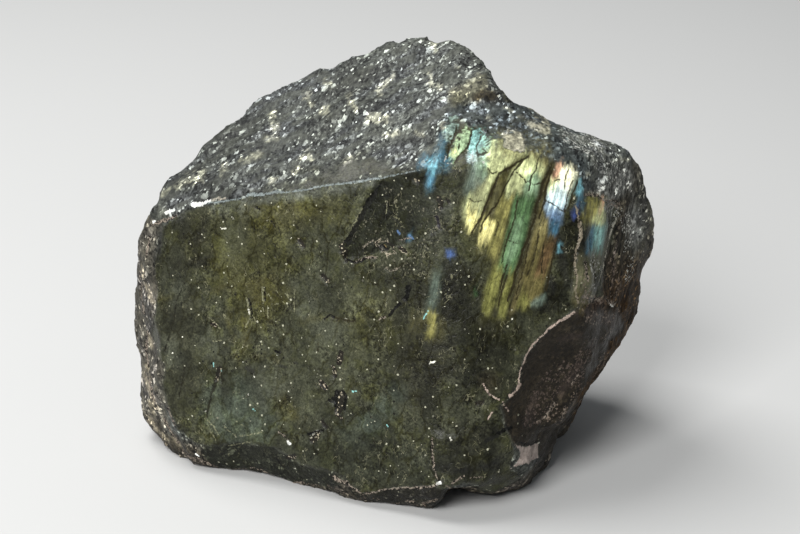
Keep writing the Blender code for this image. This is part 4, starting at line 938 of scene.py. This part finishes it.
for half_width, *line in BLOTCHES["crumbpatch"][-1]:
    flash[:, 3] *= ease(half_width, half_width + 0.3, distance_to(plan + 0.3 * fray, line))

# ---------------------------------------------------------------------------
# The marks are drawn and kept, each as its tone and how deep a place lies in
# it; where two meet, the deeper one shows. The pale pink patch at the foot of
# the scar is a flat bit of bare feldspar.
# ---------------------------------------------------------------------------
PINK = [
    (19.5, 11.9), (21.7, 9.5), (23.8, 8.3), (23.9, 5.4), (21.5, 7.4), (19.2, 7.3), (20.3, 8.3), (20.8, 9.1),
    (20.3, 10.6),
]
PINK_TONE = (0.4, 0.33, 0.29)
OUTSIDE = -0.5
GRAIN_REACH = 0.06
RIDGE_FRAY = 0.07
MARK_FRAY = 0.18
CRACK_EDGE = 0.05

mark_places = plan + MARK_FRAY * fray
mark = np.zeros((len(spots), 3))
mark_depth = np.full(len(spots), OUTSIDE)
strength = np.zeros(len(spots))
crumble = np.zeros(len(spots))


def draw(colour, depth, share, crumbled):
    """Keep a mark where it is the deepest one; loose grains give way to any other."""
    if crumbled >= SCATTERED:
        depth = np.minimum(depth, GRAIN_REACH)
    nearest = (depth > mark_depth) & (front > 0.0)
    mark[nearest] = colour
    strength[nearest] = share
    crumble[nearest] = crumbled
    mark_depth[nearest] = depth[nearest]


for kind, (colour, share, crumbled, widening, strokes) in MARKS.items():
    drawn = plan + RIDGE_FRAY * fray if kind == "ridge" else mark_places
    for half_width, *line in strokes:
        draw(colour, half_width * widening - distance_to(drawn, line), share, crumbled)
draw(PINK_TONE, depth_within(mark_places, PINK), 0.95, 0.0)
crack_depth = np.full(len(spots), OUTSIDE)
for half_width, *line in FLASH_CRACKS:
    crack_depth = np.maximum(crack_depth, half_width + CRACK_EDGE - distance_to(mark_places, line))
crack_depth = np.where(front > 0.0, crack_depth, OUTSIDE)


def store(name, values):
    """Keep values for the material as a colour attribute of the stone."""
    layer = stone.data.color_attributes.new(name, "FLOAT_COLOR", "POINT")
    layer.data.foreach_set("color", values.astype(np.float32).ravel())


store("tone", np.column_stack([tone, crust]))
store("flash", flash)
store("mark", np.column_stack([mark, mark_depth - OUTSIDE]))
layer = stone.data.attributes.new("calm", "FLOAT", "POINT")
layer.data.foreach_set("value", calm.astype(np.float32))
store("wear", np.column_stack([strength, crumble, splintery, crack_depth - OUTSIDE]))

# ---------------------------------------------------------------------------
# The crust's look: grey grit crowded in bands, with white, cream and bluish
# flecks between dark grains: pale feldspar, and painted glints where its tiny
# cleavage faces would catch the light. On the right side the grain is drawn
# out into splinters. All sizes are in millimetres.
# ---------------------------------------------------------------------------
CRUST_LIE = (0.20, 0.90, 0.38)
BEDDING_SIDE = (0.0, -0.6, 0.8)
LAMELLA_SIDE = (0.937, 0.138, -0.322)
FLECK_SIZE = 0.85
GRIT_SIZE = 0.40
DUST_SIZE = 0.24
DUST_LIGHT = [(0.0, 0.5), (0.5, 0.9), (0.85, 1.2), (1.0, 2.0)]
CRUST_HUES = [
    (0.0, (0.95, 0.99, 1.07)),
    (0.42, (0.98, 1.0, 1.03)),
    (0.54, (1.0, 1.02, 0.95)),
    (1.0, (1.05, 1.02, 0.90)),
]
EVEN_HUE = (1.0, 1.01, 0.86)

rock = bpy.data.materials.new("labradorite_rock")
rock.use_nodes = True
nodes = rock.node_tree.nodes
links = rock.node_tree.links
surface = nodes["Principled BSDF"]


class Signal:
    """A value or colour in the rock's shader; sums and products of it add nodes."""

    def __init__(self, socket):
        self.socket = socket

    def __add__(self, other):
        return calc("ADD", self, other)

    def __sub__(self, other):
        return calc("SUBTRACT", self, other)

    def __rsub__(self, other):
        return calc("SUBTRACT", other, self)

    def __mul__(self, other):
        return calc("MULTIPLY", self, other)

    def __pow__(self, other):
        return calc("POWER", self, other)


def node_of(kind, inputs, **settings):
    """Add a node with its settings, its plain values and the signals joined to it."""
    node = nodes.new(kind)
    for key, value in settings.items():
        setattr(node, key, value)
    for key, value in inputs.items():
        socket = node.inputs[key]
        if isinstance(value, Signal):
            links.new(value.socket, socket)
        elif socket.type == "RGBA":
            socket.default_value = (*value, 1.0)
        else:
            socket.default_value = value
    return node


def calc(operation, *values):
    return Signal(node_of("ShaderNodeMath", dict(enumerate(values)), operation=operation).outputs[0])


def span(value, low, high, start=0.0, end=1.0):
    """Bring a value from low..high to start..end, smoothly."""
    inputs = {"Value": value, "From Min": low, "From Max": high, "To Min": start, "To Max": end}
    return Signal(node_of("ShaderNodeMapRange", inputs, interpolation_type="SMOOTHSTEP").outputs[0])


def mix(share, first, second, kind="MIX"):
    """Go from the first colour to the second by a share."""
    node = node_of("ShaderNodeMix", {}, data_type="RGBA", blend_type=kind)
    for key, value in ((0, share), (6, first), (7, second)):
        if isinstance(value, Signal):
            links.new(value.socket, node.inputs[key])
        else:
            node.inputs[key].default_value = value if key == 0 else (*value, 1.0)
    return Signal(node.outputs[2])


def dyed(colour, dye):
    """A colour multiplied by another."""
    return mix(1.0, colour, dye, "MULTIPLY")


def stained(share, colour, stain):
    """A colour multiplied by a stain, only by a share."""
    return mix(share, colour, dyed(colour, stain))


def grey(value):
    return Signal(node_of("ShaderNodeCombineColor", {0: value, 1: value, 2: value}).outputs[0])


def channel(colour, index):
    return Signal(node_of("ShaderNodeSeparateColor", {0: colour}).outputs[index])


def kept(name):
    """What the vertices keep under a name: its colour, the fourth value and the plain value."""
    node = node_of("ShaderNodeAttribute", {}, attribute_name=name)
    return Signal(node.outputs["Color"]), Signal(node.outputs["Alpha"]), Signal(node.outputs["Fac"])


def drawn_out(lie, side, times):
    """Object places in millimetres, so that patterns on them run along a direction."""
    x = Vector(lie).normalized()
    z = x.cross(Vector(side)).normalized()
    turn = Matrix((x, z.cross(x), z)).transposed().to_euler()
    inputs = {"Vector": place, "Rotation": turn, "Scale": (MM * times, MM, MM)}
    return Signal(node_of("ShaderNodeMapping", inputs, vector_type="TEXTURE").outputs[0])


def soft_noise(vector, spacing, detail=3.0, rough=0.55, output="Factor"):
    inputs = {"Vector": vector, "Scale": 1.0 / spacing, "Detail": detail, "Roughness": rough}
    return Signal(node_of("ShaderNodeTexNoise", inputs).outputs[0 if output == "Factor" else 1])


def warped(vector, spacing, reach):
    """Shift places by soft noise, so that patterns on them lose their straight edges."""
    push = soft_noise(vector, spacing, 2.0, 0.6, "Color")
    inputs = {0: push, 1: (reach, reach, reach), 2: vector}
    return Signal(node_of("ShaderNodeVectorMath", inputs, operation="MULTIPLY_ADD").outputs[0])


def cells(vector, size):
    """Colour and distance of irregular cells."""
    node = node_of("ShaderNodeTexVoronoi", {"Vector": vector, "Scale": 1.0 / size, "Randomness": 1.0})
    return Signal(node.outputs["Color"]), Signal(node.outputs["Distance"])


def steps(value, stops):
    """A ramp of grey or coloured stops."""
    node = node_of("ShaderNodeValToRGB", {0: value})
    ramp = node.color_ramp
    while len(ramp.elements) < len(stops):
        ramp.elements.new(1.0)
    for element, (at, colour) in zip(ramp.elements, stops):
        element.position = at
        element.color = (*colour, 1.0) if isinstance(colour, tuple) else (colour, colour, colour, 1.0)
    return Signal(node.outputs[0])


tone_colour, crust_share, tone_value = kept("tone")
calm = kept("calm")[2]
wear, crack_field, wear_value = kept("wear")
splintery = channel(wear, 2)
place = Signal(nodes.new("ShaderNodeTexCoord").outputs["Object"])
crust_place = drawn_out(CRUST_LIE, (1.0, 0.0, 0.0), 1.35)
band_place = drawn_out(BEDDING, BEDDING_SIDE, 2.4)

crowding = span(soft_noise(band_place, 2.8, 3.0, 0.6), 0.42, 0.64)
patchy = soft_noise(band_place, 5.0, 3.0)
crumbs = soft_noise(crust_place, 0.8, 4.0, 0.7)
fleck_colour, fleck_gap = cells(warped(crust_place, 0.6, 0.6), FLECK_SIZE)
grit_colour, grit_gap = cells(warped(crust_place, 0.3, 0.3), GRIT_SIZE)
dust_colour, dust_gap = cells(warped(crust_place, 0.25, 0.15), DUST_SIZE)
quiet = calc("MAXIMUM", span(soft_noise(warped(band_place, 2.0, 1.6), 2.0, 3.0, 0.55), 0.48, 0.60), calm)
loud = 1.0 - quiet
dust_light = steps(channel(dust_colour, 0), DUST_LIGHT) * (loud * 0.75 + 0.25) + quiet * 0.72
# grit_light and fleck_light give the bright flecks: pale feldspar and painted glints together
grit_rank = channel(grit_colour, 0) + crowding * 0.15
grit_light = span(grit_rank, 0.90, 0.93) * (channel(grit_colour, 1) ** 3.0 * 6.5 + 0.5)
grit_dark = calc("MAXIMUM", span(channel(grit_colour, 0), 0.10, 0.20, 0.25, 1.0), quiet * 0.75)
fleck_rank = channel(fleck_colour, 0) + crowding * 0.09
fleck_light = span(fleck_rank, 0.93, 0.95) * (channel(fleck_colour, 1) ** 2.0 * 4.5 + 0.6)
fleck_light = fleck_light * span(crumbs, 0.35, 0.65, 0.5, 1.3)
bright = calc("MAXIMUM", grit_light, fleck_light) * (loud * 1.25 + 0.12)
hollow = span(channel(fleck_colour, 0) + quiet * 0.3, 0.12, 0.22, 0.35, 1.0)
grain_light = span(crumbs, 0.3, 0.7, 0.4, 1.35) * span(patchy, 0.3, 0.7, 0.7, 1.3)
grain_light = grain_light * dust_light * hollow * grit_dark + bright
grain_hue = mix(quiet * 0.7, steps(soft_noise(band_place, 7.0, 2.0), CRUST_HUES), EVEN_HUE)
crust_colour = dyed(dyed(tone_colour, grey(grain_light)), grain_hue)
splinters = soft_noise(drawn_out(LAMELLAE, LAMELLA_SIDE, 6.0), 0.55, 4.0, 0.7)
splinter_light = span(splinters, 0.36, 0.66, 0.1, 2.4) * span(crumbs, 0.32, 0.68, 0.5, 1.5) + bright * 1.1
crust_colour = mix(splintery * 0.8, crust_colour, dyed(tone_colour, grey(splinter_light)))

# ---------------------------------------------------------------------------
# The window's look: the olive feldspar under the smooth face is mottled, cut
# by fine dark threads and veins, crossed by pale hairlines and full of specks.
# ---------------------------------------------------------------------------
OLIVE_STAIN = (0.96, 0.955, 0.54)
THREAD_STAIN = (0.32, 0.31, 0.17)
VEIN_STAIN = (0.40, 0.37, 0.17)
HAIRLINE_TONE = (0.24, 0.23, 0.14)
DARK_SPECK = (0.008, 0.008, 0.006)
PALE_SPECK = (0.42, 0.41, 0.30)
ISLAND_SIZE = 3.3
SPECK_SPACING = 0.62


def hairlines(vector, spacing, width):
    """Thin lines where soft noise passes its middle value."""
    from_middle = calc("ABSOLUTE", soft_noise(vector, spacing, 2.0, 0.5) - 0.5)
    return span(from_middle, 0.0, width, 1.0, 0.0)


def crackle(vector, size, width):
    """Thin lines between irregular cells."""
    inputs = {"Vector": vector, "Scale": 1.0 / size, "Randomness": 1.0}
    node = node_of("ShaderNodeTexVoronoi", inputs, feature="DISTANCE_TO_EDGE")
    return span(Signal(node.outputs["Distance"]), 0.0, width, 1.0, 0.0)


plain = drawn_out((1.0, 0.0, 0.0), (0.0, 1.0, 0.0), 1.0)
vein_place = drawn_out((0.25, 0.3, 0.9), (1.0, 0.0, 0.0), 1.7)
stirred = 1.0 - calm
cloudy = soft_noise(plain, 5.0, 4.0, 0.6)
mottle = soft_noise(warped(plain, 1.0, 0.8), 0.95, 4.0, 0.68)
speckle = soft_noise(plain, 0.36, 4.0, 0.7)
busy = span(calm * -0.14 + soft_noise(warped(plain, 3.0, 2.0), 3.4, 3.0, 0.6), 0.44, 0.58) * stirred
calm_light = span(mottle, 0.32, 0.68, 0.76, 1.26) * span(speckle, 0.36, 0.64, 0.66, 1.36)
busy_light = span(mottle, 0.32, 0.68, 0.48, 1.60) * span(speckle, 0.36, 0.64, 0.48, 1.62)
window_light = dyed(mix(busy, grey(calm_light), grey(busy_light)), grey(span(cloudy, 0.3, 0.7, 0.70, 1.32)))
window_colour = dyed(tone_colour, window_light)
olive_share = span(soft_noise(warped(plain, 2.0, 2.0), 2.6, 5.0, 0.6), 0.48, 0.62, 0.0, 0.6) * stirred
window_colour = stained(olive_share, window_colour, OLIVE_STAIN)
broken = span(soft_noise(plain, 1.1, 2.0), 0.44, 0.56)
threads = crackle(warped(vein_place, 1.0, 1.3), 1.25, 0.11) * broken
window_colour = stained(threads * busy * 0.9, window_colour, THREAD_STAIN)
island_place = warped(vein_place, 2.0, 2.6)
island_colour, island_gap = cells(island_place, ISLAND_SIZE)
window_colour = dyed(window_colour, grey(span(channel(island_colour, 0), 0.0, 1.0, 0.80, 1.22)))
veins = crackle(island_place, ISLAND_SIZE, 0.085)
vein_zone = span(soft_noise(plain, 4.0, 2.0), 0.42, 0.54) * (stirred * 0.8 + 0.2)
window_colour = stained(veins * vein_zone * 0.9, window_colour, VEIN_STAIN)
pale_zone = span(soft_noise(plain, 3.0, 2.0), 0.51, 0.62) * stirred
pale_lines = hairlines(warped(vein_place, 1.0, 0.9), 1.5, 0.011) * pale_zone
window_colour = mix(pale_lines * 0.75, window_colour, HAIRLINE_TONE)
speck_colour, speck_gap = cells(warped(plain, 0.3, 0.25), SPECK_SPACING)
speck_reach = span(channel(speck_colour, 2), 0.0, 1.0, 0.06, 0.30)
speck = calc("LESS_THAN", speck_gap, speck_reach * span(channel(speck_colour, 0), 0.80, 0.82))
speck_tone = mix(span(channel(speck_colour, 1), 0.4, 0.5), DARK_SPECK, PALE_SPECK)
window_colour = mix(speck, window_colour, speck_tone)

edge_share = span(crust_share + (mottle - 0.5) * 0.5, 0.35, 0.65)
stone_colour = mix(edge_share, window_colour, crust_colour)

# ---------------------------------------------------------------------------
# The flash's look: the painted reflection of each area is streaked along the
# lamellae and crossed by fine splits between them.
# ---------------------------------------------------------------------------
lamella_place = drawn_out(LAMELLAE, LAMELLA_SIDE, 9.0)
split_place = drawn_out(LAMELLAE, LAMELLA_SIDE, 3.4)
flash_colour, flash_share, flash_value = kept("flash")
streaks = soft_noise(lamella_place, 0.6, 3.0, 0.6)
fine_streaks = soft_noise(lamella_place, 0.2, 2.0, 0.6)
flash_light = span(streaks, 0.32, 0.68, 0.62, 1.32) * span(fine_streaks, 0.32, 0.68, 0.82, 1.14)
flash_light = flash_light * span(mottle, 0.34, 0.66, 0.70, 1.30)
flash_light = flash_light * span(soft_noise(plain, 2.2, 2.0), 0.34, 0.66, 0.82, 1.12)
splits = hairlines(warped(split_place, 1.0, 0.6), 1.5, 0.014)
flash_light = flash_light * (1.0 - splits * 0.5)
stone_colour = mix(flash_share, stone_colour, dyed(flash_colour, grey(flash_light)))

# ---------------------------------------------------------------------------
# The marks' look: cracks, pits, bright bits, painted highlights and painted shade,
# their edges broken up by the grain of the stone. Loose grains show as single
# bright crystals; among them the glints and the sparkle are painted glints.
# ---------------------------------------------------------------------------
CRACK_TONE = (0.022, 0.0175, 0.007)

mark_colour, mark_field, mark_value = kept("mark")
mark_strength = channel(wear, 0)
crumble = channel(wear, 1)
edge_noise = (soft_noise(plain, 0.32, 3.0, 0.6) - 0.5) * 0.55
cracked = span(crack_field + edge_noise * 0.45, 0.42, 0.57, 0.0, 0.93)
stone_colour = mix(cracked, stone_colour, CRACK_TONE)
scattered = calc("GREATER_THAN", crumble, 0.995)
crumb_light = span(channel(dust_colour, 2) - (crumble - scattered), -0.08, 0.08)
mark_light = calc("MAXIMUM", crumb_light * 0.97 + 0.03, scattered) * span(crumbs, 0.3, 0.7, 0.6, 1.35)
marked = span(mark_field + edge_noise, 0.46, 0.54) * mark_strength
marked = marked * calc("MAXIMUM", crumb_light, 1.0 - scattered)
stone_colour = mix(marked, stone_colour, dyed(mark_colour, grey(mark_light)))
links.new(stone_colour.socket, surface.inputs["Base Color"])

# ---------------------------------------------------------------------------
# The gloss and the finest relief: the window is satin, with a trace of relief;
# the crust is duller and gritty, its splinters dullest.
# ---------------------------------------------------------------------------
GLOSS_LEVEL = 0.17
RELIEF_STRENGTH = 0.55
RELIEF_HEIGHT = 0.16 * MM
CREASE_ANGLE = 38.0

gloss = span(mottle, 0.3, 0.7, 0.27, 0.38) + edge_share * (splintery * 0.2 + 0.22)
links.new(gloss.socket, surface.inputs["Roughness"])
surface.inputs["Specular IOR Level"].default_value = GLOSS_LEVEL
rubble = channel(fleck_colour, 2) * 0.9 + channel(grit_colour, 2) * 0.6
rubble = rubble + (channel(dust_colour, 2) * 0.3 + crumbs * 1.6)
polish = mottle * 1.4 + speckle * 0.5 + streaks * flash_share * 0.3 - (threads + speck) * 0.3
relief = rubble * edge_share + polish * (1.0 - edge_share)
bump = node_of("ShaderNodeBump", {"Strength": RELIEF_STRENGTH, "Distance": RELIEF_HEIGHT, "Height": relief})
links.new(bump.outputs["Normal"], surface.inputs["Normal"])

stone.data.materials.clear()
stone.data.materials.append(rock)
for face in stone.data.polygons:
    face.use_smooth = True
stone.data.set_sharp_from_angle(angle=math.radians(CREASE_ANGLE))
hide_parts("labradorite_chunk")
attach(stone, "root")

# ---------------------------------------------------------------------------
# The studio floor: a wide sheet of pale matt board under the stone.
# ---------------------------------------------------------------------------
FLOOR_HALF_WIDTH = 2.0
FLOOR_GREY = (0.52, 0.52, 0.51, 1.0)

floor_shape = bmesh.new()
bmesh.ops.create_grid(floor_shape, x_segments=1, y_segments=1, size=FLOOR_HALF_WIDTH)
floor_mesh = bpy.data.meshes.new("studio_floor")
floor_shape.to_mesh(floor_mesh)
floor_shape.free()
floor = bpy.data.objects.new("studio_floor", floor_mesh)
bpy.context.scene.collection.objects.link(floor)
board = bpy.data.materials.new("pale_floor")
board.use_nodes = True
board.node_tree.nodes["Principled BSDF"].inputs["Base Color"].default_value = FLOOR_GREY
board.node_tree.nodes["Principled BSDF"].inputs["Roughness"].default_value = 0.7
floor_mesh.materials.append(board)

# ---------------------------------------------------------------------------
# The studio light: a small softbox high behind the stone, a larger one high in
# front on the left, and a dim cool glow all round.
# ---------------------------------------------------------------------------
STONE_MIDDLE = Vector((0.0, 0.0, 0.03))
SKY_COLOUR = (0.9, 0.95, 1.0, 1.0)
SKY_STRENGTH = 0.2


def softbox(name, spot, size, power):
    """A square lamp aimed at the stone's middle."""
    lamp = bpy.data.lights.new(name, "AREA")
    lamp.size = size
    lamp.energy = power
    holder = bpy.data.objects.new(name, lamp)
    holder.location = spot
    holder.rotation_euler = (STONE_MIDDLE - Vector(spot)).to_track_quat("-Z", "Y").to_euler()
    bpy.context.scene.collection.objects.link(holder)


softbox("top_softbox", (-0.22, 0.16, 0.55), 0.34, 3.4)
softbox("front_softbox", (-0.26, -0.56, 0.56), 0.36, 7.0)
world = bpy.data.worlds.new("studio")
bpy.context.scene.world = world
world.use_nodes = True
world.node_tree.nodes["Background"].inputs["Color"].default_value = SKY_COLOUR
world.node_tree.nodes["Background"].inputs["Strength"].default_value = SKY_STRENGTH
bpy.context.scene.view_settings.view_transform = "Standard"

# ---------------------------------------------------------------------------
# The camera: a long lens, looking down on the window side by 22 degrees.
# ---------------------------------------------------------------------------
lens = bpy.data.cameras.new("camera")
lens.lens = 105.0
lens.sensor_width = 36.0
lens.clip_start = 0.01
camera = bpy.data.objects.new("camera", lens)
camera.location = (0.00139, -0.36199, 0.17714)
camera.rotation_euler = (math.radians(68.0), 0.0, 0.0)
bpy.context.scene.collection.objects.link(camera)
bpy.context.scene.camera = camera
